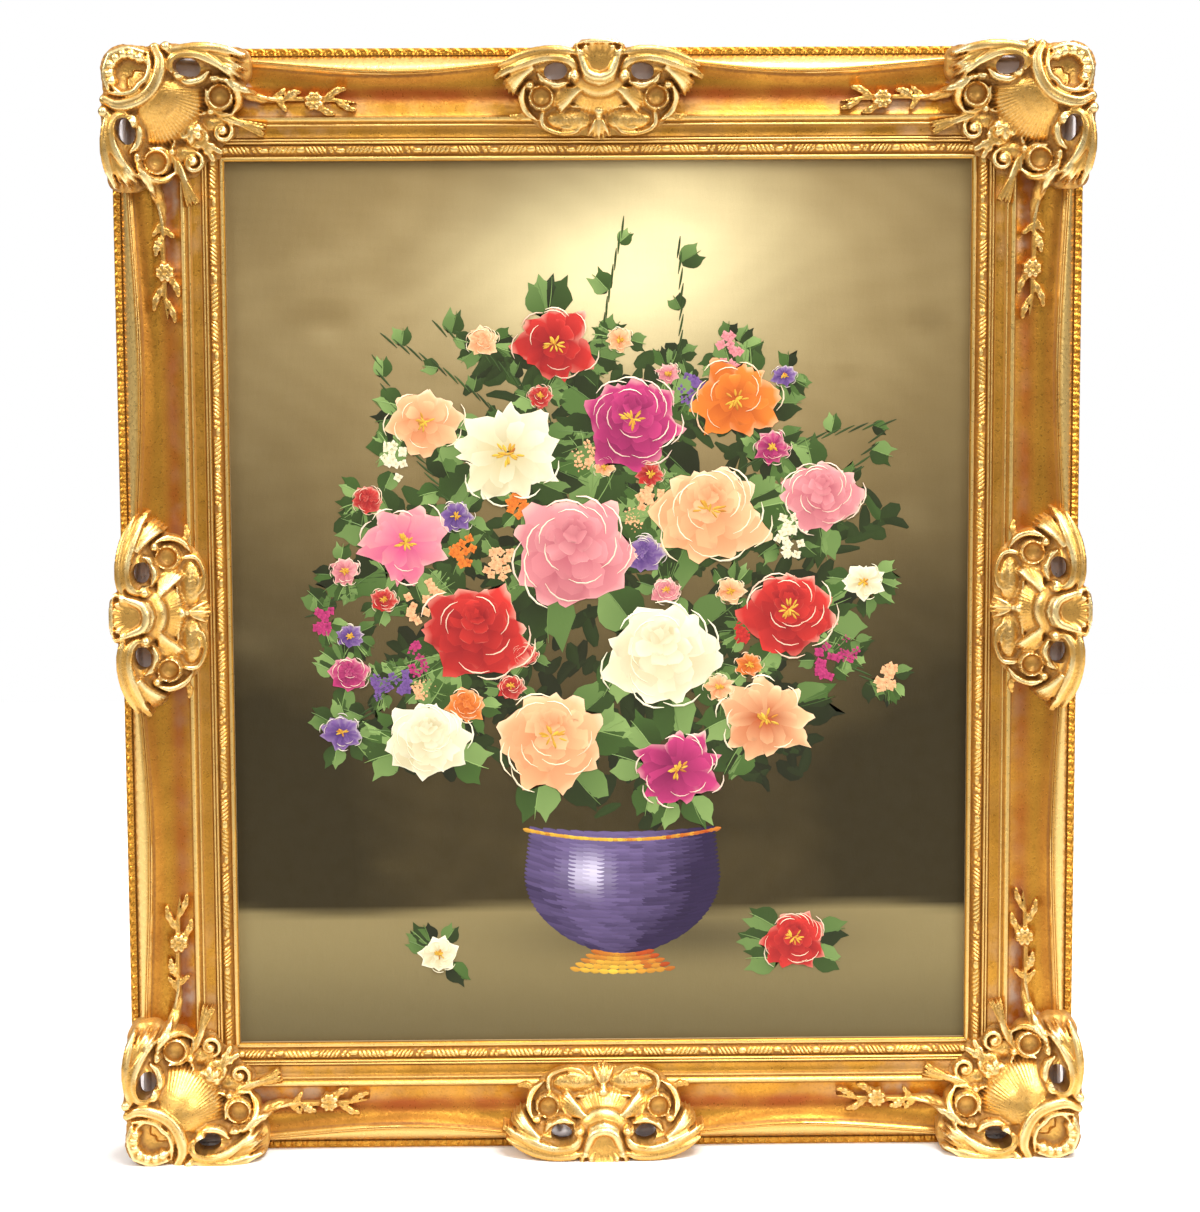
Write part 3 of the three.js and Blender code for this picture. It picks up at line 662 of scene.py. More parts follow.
    def bowl(self, centre: Pair, radius: float, floor: float, rim: float, width: float,
             frill: int = 0, grain: float = 0.0) -> None:
        """Sink a rounded dish with a raised rim, plain or frilled, and a smooth or hammered floor."""
        where, a, b = self.around(centre, (radius + width, radius + width))
        angle = np.arctan2(b, a)
        r = np.hypot(a, b)
        wave = np.abs(np.sin(angle * frill / 2)) if frill else 1.0
        edge = radius + width / 2 * (0.75 + 0.45 * wave)
        inside = r < edge
        u = np.clip((r - (radius - width / 2)) / width, 0, 1)
        lip = np.sin(np.pi * np.clip(u, 0, 1)) ** 0.7 * (0.75 + 0.25 * wave)
        dish = floor + (rim - floor) * 0.45 * (np.clip(r / radius, 0, 1)) ** 2.6
        dish = dish + grain * self.grain(where)
        z = np.where(r > radius - width / 2, dish * (1 - lip) + rim * lip, dish)
        self.height[where] = np.where(inside, z, self.height[where])
        self.solid[where] |= inside

    def dome(self, centre: Pair, radius: float, height: float, rise: float = 1.0) -> None:
        """Raise a rounded boss."""
        where, a, b = self.around(centre, (radius, radius))
        r = np.hypot(a, b) / radius
        z = height - rise * radius * (1 - np.sqrt(np.clip(1 - r**2, 0, 1)))
        self.raise_to(where, z, r < 1)

    def flower(self, centre: Pair, radius: float, height: float, petals: int, heart: float) -> None:
        """Raise a flower of rounded petals around a ringed heart."""
        where, a, b = self.around(centre, (radius * 1.1, radius * 1.1))
        r, angle = np.hypot(a, b), np.arctan2(b, a)
        wave = np.abs(np.sin(angle * petals / 2))
        edge = radius * (0.72 + 0.3 * wave**0.8)
        u = np.clip((r - heart) / (edge - heart), 0, 1)
        z = height - 1.0 + 1.4 * np.sin(np.pi * u**0.9) * (0.45 + 0.55 * wave)
        z = z - 1.8 * smooth_step(0.75, 1, u)
        z = np.where(r < heart, height - 0.4 - 0.9 * (1 - np.sqrt(np.clip(1 - (r / heart) ** 2, 0, 1))), z)
        self.raise_to(where, z, r < edge)
        for k in range(9):
            turn = 2 * math.pi * k / 9
            self.dome(on_circle(centre, heart, turn), 0.85, height + 0.5)

    def scroll(self, centre: Pair, radius: float, start: float, turns: float, height: float,
               half_width: float) -> None:
        """Lay a strap that winds in to a round eye."""
        t = np.linspace(0, 1, 14)
        r = radius * (1 - t) + 1.6 * t
        angle = np.radians(start) + 2 * np.pi * turns * t
        points = [(*on_circle(centre, ri, w), height + 1.6 * ti) for ri, w, ti in zip(r, angle, t)]
        self.strap(points, half_width, 0, (0.6, 0.8), 1.0)
        self.dome(centre, 2.6, height + 2.6)

    def grain(self, where: tuple[slice, slice]) -> Array:
        """A hammered texture of small dots over a window of the grid."""
        a, b = self.a[where], self.b[where]
        row = np.floor(b / 1.75)
        dots = np.cos(2 * np.pi * (a / 2.0 + 0.5 * np.mod(row, 2)))
        dots = dots * np.cos(2 * np.pi * (b / 1.75 - row - 0.5))
        return 0.45 * dots + 0.25 * self.rng.normal(size=a.shape)

    def field_of_dots(self, centre: Pair, radii: Pair, height: float,
                      drop: float) -> None:
        """Lay a stippled cushion."""
        where, a, b = self.around(centre, radii)
        u = np.hypot(a / radii[0], b / radii[1])
        self.raise_to(where, height - drop * u**2 + 0.8 * self.grain(where), u < 1)

    def pierce(self, centre: Pair, radii: Pair, turn: float) -> None:
        """Cut an oval hole right through."""
        where, a, b = self.around(centre, (radii[0], radii[0]))
        c, s = math.cos(math.radians(turn)), math.sin(math.radians(turn))
        u, v = (a * c + b * s) / radii[0], (b * c - a * s) / radii[1]
        self.solid[where] &= (u**2 + v**2) > 1

    def fill_outline(self, outline: Array) -> Array:
        """Which places of the grid lie inside a closed outline."""
        inside = np.zeros(self.a.shape, bool)
        x, y = outline[:, 0], outline[:, 1]
        for k in range(len(outline)):
            x0, y0, x1, y1 = x[k - 1], y[k - 1], x[k], y[k]
            crosses = (y0 > self.b) != (y1 > self.b)
            at = x0 + (self.b - y0) * (x1 - x0) / (y1 - y0 + 1e-12)
            inside ^= crosses & (self.a < at)
        return inside

    def blur(self, values: Array, reach: float) -> Array:
        """Smooth values over the grid, without letting empty places in."""
        steps = int(reach * 2.5 / self.pitch) + 1
        kernel = np.exp(-0.5 * (np.arange(-steps, steps + 1) * self.pitch / reach) ** 2)
        weight = self.solid.astype(float)
        total = values * weight
        for axis in (0, 1):
            total = np.apply_along_axis(np.convolve, axis, total, kernel, "same")
            weight = np.apply_along_axis(np.convolve, axis, weight, kernel, "same")
        return total / np.maximum(weight, 1e-6)

    def settle(self, bed: Array, soft: float) -> None:
        """Rest the relief on its bed, lift what would sink into the bed and round it slightly."""
        self.height = self.blur(np.maximum(self.height, bed + 0.4), soft)
        for _ in range(3):
            s = self.solid
            cross = (s[:-1, :-1] & s[1:, 1:] & ~s[:-1, 1:] & ~s[1:, :-1])
            other = (~s[:-1, :-1] & ~s[1:, 1:] & s[:-1, 1:] & s[1:, :-1])
            for shift in ((0, 0), (1, 0), (0, 1), (1, 1)):
                rows = slice(shift[0], s.shape[0] - 1 + shift[0])
                cols = slice(shift[1], s.shape[1] - 1 + shift[1])
                self.solid[rows, cols] |= cross | other


@dataclass
class Casting:
    """One design of cast ornament, carved once and set at each of its places."""

    picture: Picture
    profile: RailProfile
    pitch: float = 0.65
    foot_inset: float = 1.0
    bed_gap: float = 0.3
    open_height: float = 12.0

    def face_height(self, inward: Array, share: Array) -> Array:
        """The casting's ground, falling from the outer rim to the sight side."""
        ground = np.interp(inward, (-2, 9, 16, 22, 28, 38, 52, 64, 84), (37, 36, 33, 25, 17, 12, 9, 6.5, 4))
        return ground * share

    def ribs(self, relief: Relief, focus: Pair, count: int) -> Array:
        """Fine flutes that spread over the ground from a focus."""
        a, b = relief.a - focus[0], relief.b - focus[1]
        wave = np.abs(np.sin(count * np.arctan2(b, a) / 2))
        return 0.9 * (wave - 0.5) * smooth_step(8, 18, np.hypot(a, b))

    def mesh(self, relief: Relief, bed: Array) -> tuple[Array, list, Array]:
        """Close the relief into a solid skin.

        Args:
            relief: the settled relief.
            bed: height of the casting's underside over the grid.

        Returns:
            Points as along, inward and height, faces, and how sunk each point is.
        """
        solid = relief.solid
        cells = solid[:-1, :-1] & solid[1:, :-1] & solid[:-1, 1:] & solid[1:, 1:]
        index = np.full(solid.shape, -1)
        used = np.zeros(solid.shape, bool)
        for rows in (slice(0, -1), slice(1, None)):
            for cols in (slice(0, -1), slice(1, None)):
                used[rows, cols] |= cells
        index[used] = np.arange(used.sum())
        a, b = relief.a[used].copy(), relief.b[used].copy()
        i, j = np.nonzero(cells)
        quads = np.stack([index[i, j], index[i + 1, j], index[i + 1, j + 1], index[i, j + 1]], -1)
        edges = np.concatenate([quads[:, [k, (k + 1) % 4]] for k in range(4)])
        key = edges[:, 0].astype(np.int64) * (len(a) + 1) + edges[:, 1]
        back = edges[:, 1].astype(np.int64) * (len(a) + 1) + edges[:, 0]
        border = edges[~np.isin(key, back)]
        for _ in range(6):
            total, count = np.zeros((len(a), 2)), np.zeros(len(a))
            for near, far in ((0, 1), (1, 0)):
                np.add.at(total, border[:, near], np.stack([a[border[:, far]], b[border[:, far]]], -1))
                np.add.at(count, border[:, near], 1)
            on = count > 0
            a[on] = 0.5 * a[on] + 0.5 * total[on, 0] / count[on]
            b[on] = 0.5 * b[on] + 0.5 * total[on, 1] / count[on]
        top = np.stack([a, b, relief.height[used]], -1)
        under = np.stack([a, b, bed[used]], -1)
        under = self.pulled_in(under)
        n = len(a)
        walls = np.stack([border[:, 1], border[:, 0], border[:, 0] + n, border[:, 1] + n], -1)
        faces = quads.tolist() + walls.tolist() + (quads[:, ::-1] + n).tolist()
        # Painted shade, with toning, in the relief's hollows, and painted highlights on its raised points.
        sunk = relief.blur(relief.height, 2.2) - relief.height
        # The casting's underside and walls are set fully in painted shade.
        recess = np.concatenate([sunk[used], np.full(n, 1.5)])
        log.info("casting skin: %d points, %d faces", 2 * n, len(faces))
        return np.concatenate([top, under]), faces, recess

    def pulled_in(self, under: Array) -> Array:
        """Pull the underside's outer edge in from the frame's edge."""
        raise NotImplementedError

    def finish(self, piece: Piece, recess: Array, node: str) -> Piece:
        """Store the tones, smooth the shading and hide the imported part that the piece replaces."""
        set_attribute(piece, "recess", recess)
        activate(piece)
        bpy.ops.object.mode_set(mode="EDIT")
        bpy.ops.mesh.select_all(action="SELECT")
        bpy.ops.mesh.normals_make_consistent(inside=False)
        bpy.ops.object.mode_set(mode="OBJECT")
        soften(piece, 62)
        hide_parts(node)
        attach(piece, "root")
        return piece


@dataclass
class CornerCasting(Casting):
    """The corner ornament: lobe, crest bands, shell, straps round two holes, and trailing sprays."""

    outline: tuple = ((29, -0.5), (42, -2), (74, -0.8), (92, 2), (94, 19), (84, 30), (82, 42), (85, 55),
                      (74, 64))
    spray_start: float = 82.0
    spray_lengths: Pair = (82.0, 100.0)
    full_arm: float = 84.0
    end_arm: float = 108.0
    end_share: float = 0.45

    def grid(self) -> Relief:
        """An empty grid that spans both arms."""
        return Relief((-3.2, -3.2), (self.spray_start + self.spray_lengths[0] + 6,
                                     self.spray_start + self.spray_lengths[1] + 6), self.pitch, 11)

    def pulled_in(self, under: Array) -> Array:
        """Pull the underside in from both outer edges."""
        under[:, :2] = np.maximum(under[:, :2], self.foot_inset)
        return under

    def carve_crest(self, relief: Relief) -> None:
        """Carve the lobe at the very corner, its frill and the double band around it."""
        relief.dome((28, 28), 25, 37.5, 0.5)
        relief.bowl((17.5, 17.5), 13.5, 33, 41, 4.0, 0, 0.45)
        for turn, radius, size in ((180, 12.5, 3.6), (205, 13.0, 3.9), (230, 12.8, 3.6), (255, 13.0, 3.9),
                                   (280, 12.5, 3.5), (155, 12.2, 3.2), (305, 12.2, 3.2)):
            w = math.radians(turn)
            relief.scroll(on_circle((17, 17), radius, w), size, turn, 0.8, 41.5, 1.5)
        relief.strap([(3.5, 27, 42), (1.2, 17, 43), (4.5, 6.5, 43.5), (6.5, 4.5, 43.5), (17, 1.2, 43),
                      (27, 3.5, 42)],
                     2.0, 0, (0.7, 0.7))
        for k in range(7):
            w = math.radians(10 + 70 * k / 6)
            relief.strap([(*on_circle((15, 15), 5, w), 34.5), (*on_circle((15, 15), 12, w), 37)], 1.1, 0,
                         (0.4, 0.9))
        band = [(34, 0.5, 41), (37.5, 9, 43), (35.5, 20, 43.5), (29.5, 29.5, 43), (20, 35.5, 43.5),
                (9, 37.5, 43), (0.5, 34, 41)]
        relief.strap(band, 4.4, 2, (0.75, 0.75), 0.7)
        inner = [(29.5, 4, 40), (30.5, 12, 41.5), (28.5, 20, 42), (24, 24, 42), (20, 28.5, 42),
                 (12, 30.5, 41.5), (4, 29.5, 40)]
        relief.strap(inner, 2.0, 0, (0.7, 0.7), 0.9)

    def carve_shell(self, relief: Relief) -> None:
        """Carve the finely ribbed shell that falls to the picture from the band."""
        relief.fan((27, 27), 45, 64, 3, 38.0, 30, 40.5, 16.5, 0.9, 2.4)
        relief.flower((54, 54), 8.6, 18.5, 6, 2.4)
        relief.dome((54, 54), 4.4, 20.5)
        for turn in (20, 70, 120, -30):
            w = math.radians(turn)
            relief.strap([(*on_circle((54, 54), 3, w), 20.5), (*on_circle((54, 54), 8, w + 0.4), 18)], 1.3)

    def carve_side(self, relief: Relief, flip: bool) -> None:
        """Carve one arm: its hole and strap, leaf bundle, cartouche, scroll and leaves."""
        def put(points: list) -> list:
            """Swap the arm's distances for the other arm."""
            return [(p[1], p[0], *p[2:]) for p in points] if flip else points

        def spot(a: float, b: float) -> Pair:
            """Swap one place for the other arm."""
            return (b, a) if flip else (a, b)

        relief.dome(spot(41.5, -0.2), 3.4, 43.8)
        relief.strap(put([(43, 2.5, 42), (55, 0.8, 43), (68, 0.4, 42.5), (80, 2.4, 39), (90, 5.5, 34)]),
                     3.2, 0, (0.7, 0.5), 0.8)
        loop = [(47.5, 17.5, 38), (44, 13, 40.5), (46, 7.5, 42.5), (54, 4.4, 43.5), (64, 5.6, 42.5),
                (73, 10.5, 40), (81, 17, 35)]
        relief.strap(put(loop), 3.6, 3, (0.7, 0.5), 0.8)
        relief.scroll(spot(48.5, 17.5), 4.4, 200, 0.9, 39.5, 1.6)
        for shift in (0.0, 1.0):
            relief.bundle(put([(70 + 3 * shift, 4 + 6 * shift, 39 - 2 * shift),
                               (81 + shift, 9 + 6 * shift, 36.5),
                               (92 - 2 * shift, 15 + 6 * shift, 28)]), 3.6, 3, 1.35)
        relief.strap(put([(48, 21, 35), (56, 22.5, 35.5), (63, 20.5, 34), (68, 16, 34)]), 2.6, 0,
                     (0.5, 0.4), 0.8)
        relief.leaf(put([(70, 20, 33), (78, 23, 31), (88, 27, 26), (97, 30, 20)]), 4.6, 4)
        relief.bowl(spot(74, 31.5), 7.6, 15.5, 23, 3.0)
        relief.strap(put([(82, 21, 30), (85.5, 28, 26), (86, 36, 20), (81, 43, 15)]), 2.6, 0, (0.4, 0.5),
                     1.0)
        relief.strap(put([(65, 27, 25), (66, 36, 20), (72, 42, 16.5), (81, 43, 15)]), 2.0, 0, (0.4, 0.5),
                     1.0)
        relief.dome(spot(67.5, 41.5), 2.6, 20)
        relief.field_of_dots(spot(68, 48), (9.5, 6.5), 13.5, 3.0)
        relief.strap(put([(60, 44, 17), (66, 41, 16.5), (74, 40.5, 16)]), 1.6, 0, (0.5, 0.5), 1.0)
        relief.strap(put([(58.5, 47.5, 17), (61, 53, 15.5), (66, 58, 13)]), 1.5, 0, (0.5, 0.5), 1.0)
        relief.scroll(spot(74.5, 54.5), 7.6, 250, 1.35, 12.5, 1.9)
        relief.strap(put([(73, 44, 14.5), (80, 46.5, 14.5), (90, 50, 13.5)]), 3.0, 2, (0.6, 0.6), 0.8)
        relief.bundle(put([(84, 48, 14), (92, 50.5, 13), (99, 53, 11.5), (107, 56, 9.5)]), 4.6, 4, 1.05)
        relief.leaf(put([(61, 61, 14), (68, 65, 11.5), (76, 69.5, 8.5)]), 3.6, 3, 2.0)
        relief.leaf(put([(62, 52, 15), (63, 60, 14), (66, 66, 11)]), 3.4, 3, 2.0)

    def carve_spray(self, relief: Relief, length: float, flip: bool) -> None:
        """Carve one trailing spray of leaves, bud and flower along the hollow of the rail."""
        def put(points: list) -> list:
            """Swap the arm's distances, and stretch the spray to its length."""
            start = self.spray_start
            scaled = [(start + (p[0] - start) * length / 82.0, *p[1:]) for p in points]
            return [(p[1], p[0], *p[2:]) for p in scaled] if flip else scaled

        def spot(a: float, b: float) -> Pair:
            """Stretch and swap one place."""
            point = put([(a, b)])[0]
            return point[0], point[1]

        relief.leaf(put([(80, 22, 30), (90, 29, 20), (101, 33, 11), (113, 34.5, 9.5)]), 4.2, 5, 2.2)
        relief.strap(put([(98, 31, 13), (110, 33.5, 11), (124, 33, 10), (137, 34, 9.5), (150, 34, 9),
                          (163, 36, 8.5)]),
                     1.7, 0, (0.6, 0.4), 1.1)
        relief.leaf(put([(108, 33, 10.5), (113, 29, 11), (117, 25.5, 10.5)]), 2.3, 2, 1.6)
        relief.leaf(put([(111, 34, 10), (115, 39, 10.5), (117, 42.5, 9.5)]), 2.4, 2, 1.6)
        relief.leaf(put([(116, 33, 11), (121, 29.5, 12), (128, 28.5, 11.5)]), 3.4, 4, 2.0)
        relief.flower(spot(135, 34.5), 7.2, 12.5, 8, 2.3)
        relief.leaf(put([(138, 38, 10), (144, 42, 10.5), (150, 43.5, 9.5)]), 3.0, 3, 1.8)
        relief.leaf(put([(143, 32, 10), (151, 27.5, 10.5), (158, 26.5, 9.5)]), 3.0, 3, 1.8)
        relief.leaf(put([(150, 35, 9.5), (158, 39.5, 10), (164.5, 40.5, 9)]), 2.6, 3, 1.6)

    def build(self, tables: dict[bool, HeightTable]) -> list[Piece]:
        """Carve the ornament once and set it at the four corners."""
        relief = self.grid()
        half = through(list(self.outline), 60)
        tip = np.array([[72.5, 72.5]])
        w = np.radians(np.linspace(180, 270, 16))
        arc = np.stack([14 + 16 * np.cos(w), 14 + 16 * np.sin(w)], -1)
        outline = np.concatenate([arc, half, tip, half[::-1, ::-1]])
        inside = relief.fill_outline(outline)
        rounded = 14 - np.hypot(14 - relief.a, 14 - relief.b)
        inward = np.where((relief.a < 14) & (relief.b < 14), rounded, np.minimum(relief.a, relief.b))
        along = np.maximum(relief.a, relief.b)
        share = 1 - (1 - self.end_share) * smooth_step(self.full_arm, self.end_arm, along)
        share = share * (1 - 0.26 * smooth_step(58, 82, along))
        ribs = self.ribs(relief, (29, 29), 58)
        relief.raise_to((slice(None), slice(None)), self.face_height(inward, share) + ribs, inside)
        self.carve_shell(relief)
        for flip in (False, True):
            self.carve_side(relief, flip)
        self.carve_crest(relief)
        for flip in (False, True):
            self.carve_spray(relief, self.spray_lengths[int(flip)], flip)
        for flip in (False, True):
            relief.pierce((13.2, 54.3) if flip else (54.3, 13.2), (8.6, 5.6), 80 if flip else 10)
        bed = self.bed(relief, tables) - self.bed_gap
        relief.settle(bed + self.bed_gap, 0.38)
        open_below = smooth_step(27, 21, inward) * smooth_step(36, 41, along)
        open_below = open_below * smooth_step(84, 76, along)
        points, faces, recess = self.mesh(relief, bed + self.open_height * open_below)
        half_outer = np.array([self.picture.half_width, self.picture.half_height]) + self.profile.width
        pieces = []
        for corner in Corner:
            sx, sy = corner.value
            xyz = np.stack([sx * (half_outer[0] - points[:, 0]), sy * (half_outer[1] - points[:, 1]),
                            points[:, 2]], -1)
            name = corner.name.lower()
            piece = new_piece(f"corner_casting_{name}", self.picture.place(xyz), faces)
            pieces.append(self.finish(piece, recess, f"corner_ornament_{name}"))
        return pieces

    def bed(self, relief: Relief, tables: dict[bool, HeightTable]) -> Array:
        """Height of the two rails below the casting."""
        upright = relief.a < relief.b
        heights = np.zeros(relief.a.shape)
        for is_upright in (False, True):
            across = relief.a if is_upright else relief.b
            along = relief.b if is_upright else relief.a
            half = self.picture.half(is_upright) + self.profile.width
            share = self.profile.share(half - along, half)
            outward = np.clip(self.profile.width - across, 0, self.profile.width)
            heights = np.where(upright == is_upright, tables[is_upright].at(outward, share), heights)
        return heights


@dataclass
class CentreCasting(Casting):
    """The centre ornament: crest fan and bowl, straps round two holes, shell, and two kidney lobes."""

    outline: tuple = ((0, -2.2), (8, -1.5), (17, 1), (28, 2), (46, 4), (60, 8), (64, 15), (59, 24), (55, 30),
                      (49, 40), (41, 52), (24, 58.5), (10, 58), (0, 60))

    def pulled_in(self, under: Array) -> Array:
        """Pull the underside in from the outer edge."""
        under[:, 1] = np.maximum(under[:, 1], self.foot_inset)
        return under

    def carve_half(self, relief: Relief, sign: int) -> None:
        """Carve one half: hole and straps, side lobe, kidney lobe and leaves."""
        def put(points: list) -> list:
            """Mirror places to this half."""
            return [(sign * p[0], *p[1:]) for p in points]

        turn = (lambda w: w) if sign > 0 else (lambda w: 180 - w)
        relief.strap(put([(14, 5.5, 40), (22, 3.4, 41.5), (34, 3.0, 41), (46, 4.8, 38.5), (58, 9, 34),
                          (66, 13, 29)]),
                     3.0, 0, (0.6, 0.4), 0.8)
        relief.strap(put([(15.5, 19, 36), (16.5, 13.5, 39), (20.5, 9.5, 41), (28.5, 7.6, 41.5),
                          (38, 8.4, 40.5),
                          (50, 12, 37), (60, 16.5, 31), (68, 21, 25)]), 3.4, 3, (0.6, 0.35), 0.8)
        relief.scroll((sign * 16.5, 20), 3.6, turn(20), -0.9 * sign, 37.5, 1.5)
        relief.bundle(put([(44, 14, 36), (52, 19, 32), (58, 25, 26), (62, 31, 18)]), 5.2, 4, 1.7)
        relief.bundle(put([(52, 11, 35), (60, 14, 31), (69, 19, 25)]), 3.6, 3, 1.5)
        relief.strap(put([(20, 23.5, 31), (28, 25.5, 31), (36, 23, 30), (40, 18, 31)]), 2.4, 0, (0.5, 0.4),
                     0.8)
        relief.bowl((sign * 38, 33), 7.4, 15.0, 22.5, 2.6, 11)
        relief.strap(put([(48, 24, 25), (51, 33, 20), (48, 42, 15), (41, 48, 13)]), 2.4, 0, (0.4, 0.4), 1.0)
        relief.dome((sign * 45.5, 25), 3.0, 27)
        relief.strap(put([(26, 28, 24), (28.5, 34, 19), (33, 40.5, 16)]), 1.6, 0, (0.5, 0.5), 1.0)
        relief.field_of_dots((sign * 19, 46.5), (15.5, 8.2), 15.0, 4.0)
        relief.strap(put([(30, 38.5, 16), (37, 43, 15), (36.5, 51.5, 12.5), (27, 56, 12), (16, 55.5, 12),
                          (11, 51, 12.5)]), 1.9, 0, (0.5, 0.5), 1.0)
        relief.strap(put([(25, 53, 13.5), (19, 52.5, 13.5), (15.5, 49.5, 13.5)]), 1.2, 0, (0.5, 0.5), 1.0)
        relief.strap(put([(5, 41.5, 17), (14, 39, 17.5), (24, 38.5, 17)]), 1.3, 0, (0.5, 0.5), 1.0)
        relief.leaf(put([(46, 43, 13), (54, 45.5, 11), (61, 43.5, 9)]), 2.6, 3, 1.6)
        for reach, drop in ((3.2, 60.5), (7.0, 58.5)):
            relief.strap(put([(1.2, 46, 15), (0.6 * reach, 52, 13.5), (reach, drop, 9.5)]), 1.4, 0,
                         (0.7, 0.4), 1.1)

    def build(self, tables: dict[bool, HeightTable]) -> list[Piece]:
        """Carve the ornament once and set it at the middle of the four sides."""
        relief = Relief((-72, -3.6), (72, 66), self.pitch, 23)
        half = through(list(self.outline), 90)
        outline = np.concatenate([half, (half * [-1, 1])[::-1]])
        inside = relief.fill_outline(outline)
        reach = np.abs(relief.a)
        share = (1 - 0.5 * smooth_step(46, 70, reach)) * (1 - 0.2 * smooth_step(30, 50, reach))
        ribs = self.ribs(relief, (0, 12), 44)
        relief.raise_to((slice(None), slice(None)), self.face_height(relief.b, share) + ribs, inside)
        relief.dome((0, 14), 20, 35, 0.5)
        relief.fan((0, 19), 90, 80, 3, 26, 26, 33.5, 15.0, 0.7, -0.5)
        for sign in (1, -1):
            relief.fan((sign * 9, 26), 90 - sign * 66, 24, 4, 24, 8, 29, 17, 0.7, -0.5)
            self.carve_half(relief, sign)
        relief.dome((0, 41.5), 3.4, 20.5)
        relief.strap([(-2.6, 43.5, 17), (0, 45.5, 17.5), (2.6, 43.5, 17)], 1.4)
        relief.strap([(0, 45, 16), (0, 53, 14), (0, 61, 10)], 1.5, 0, (0.8, 0.5), 1.1)
        relief.dome((0, 4), 14.5, 39.5, 0.25)
        relief.strap([(-9.5, 14.5, 38), (-8.6, 20.5, 38.5), (0, 24, 38.5), (8.6, 20.5, 38.5),
                      (9.5, 14.5, 38)], 2.4, 1,
                     (0.6, 0.6), 0.9)
        relief.strap([(-15.5, 0.2, 41.5), (-11.5, 9, 41.5), (-7.5, 17.5, 41.5), (0, 20.5, 42),
                      (7.5, 17.5, 41.5), (11.5, 9, 41.5), (15.5, 0.2, 41.5)], 3.2, 1, (0.5, 0.5), 0.7)
        relief.fan((0, 15), -90, 58, 2.5, 17.6, 7, 38, 43.2, 1.3, -1.2)
        relief.strap([(-14.5, -0.6, 43), (-8, -2.0, 43.5), (0, -2.4, 44), (8, -2.0, 43.5),
                      (14.5, -0.6, 43)], 1.5, 0,
                     (0.5, 0.5))
        for sign in (1, -1):
            relief.pierce((sign * 28.5, 16.4), (7.4, 5.2), 8 * sign)
        pieces = []
        for side in Side:
            bed = self.bed(relief, tables, side) - self.bed_gap
            if side is Side.TOP:
                relief.settle(np.maximum(bed, self.bed(relief, tables, Side.LEFT)) + self.bed_gap, 0.42)
            open_below = smooth_step(25, 20, relief.b) * smooth_step(15, 19, reach)
            open_below = open_below * smooth_step(46, 39, reach)
            points, faces, recess = self.mesh(relief, bed + self.open_height * open_below)
            half_outer = self.profile.width + self.picture.half(not side.upright)
            x, y = side.turned(points[:, 0], half_outer - points[:, 1])
            name = side.name.lower()
            piece = new_piece(f"centre_casting_{name}",
                              self.picture.place(np.stack([x, y, points[:, 2]], -1)), faces)
            pieces.append(self.finish(piece, recess, f"centre_ornament_{name}"))
        return pieces

    def bed(self, relief: Relief, tables: dict[bool, HeightTable], side: Side) -> Array:
        """Height of the rail below the casting."""
        half = self.picture.half(side.upright) + self.profile.width
        share = self.profile.share(relief.a, half)
        outward = np.clip(self.profile.width - relief.b, 0, self.profile.width)
        return tables[side.upright].at(outward, share)


@dataclass(frozen=True)
class Tint:
    """A colour in linear red, green and blue."""

    r: float
    g: float
    b: float

    @classmethod
    def screen(cls, r: int, g: int, b: int) -> "Tint":
        """A colour given as it looks on a screen, from 0 to 255."""
        return cls(*((v / 255 / 12.92 if v <= 10 else ((v / 255 + 0.055) / 1.055) ** 2.4)
                     for v in (r, g, b)))

    @property
    def rgba(self) -> tuple[float, float, float, float]:
        """The colour with full opacity."""
        return (self.r, self.g, self.b, 1.0)

    @property
    def array(self) -> Array:
        """The colour as an array."""
        return np.array([self.r, self.g, self.b])


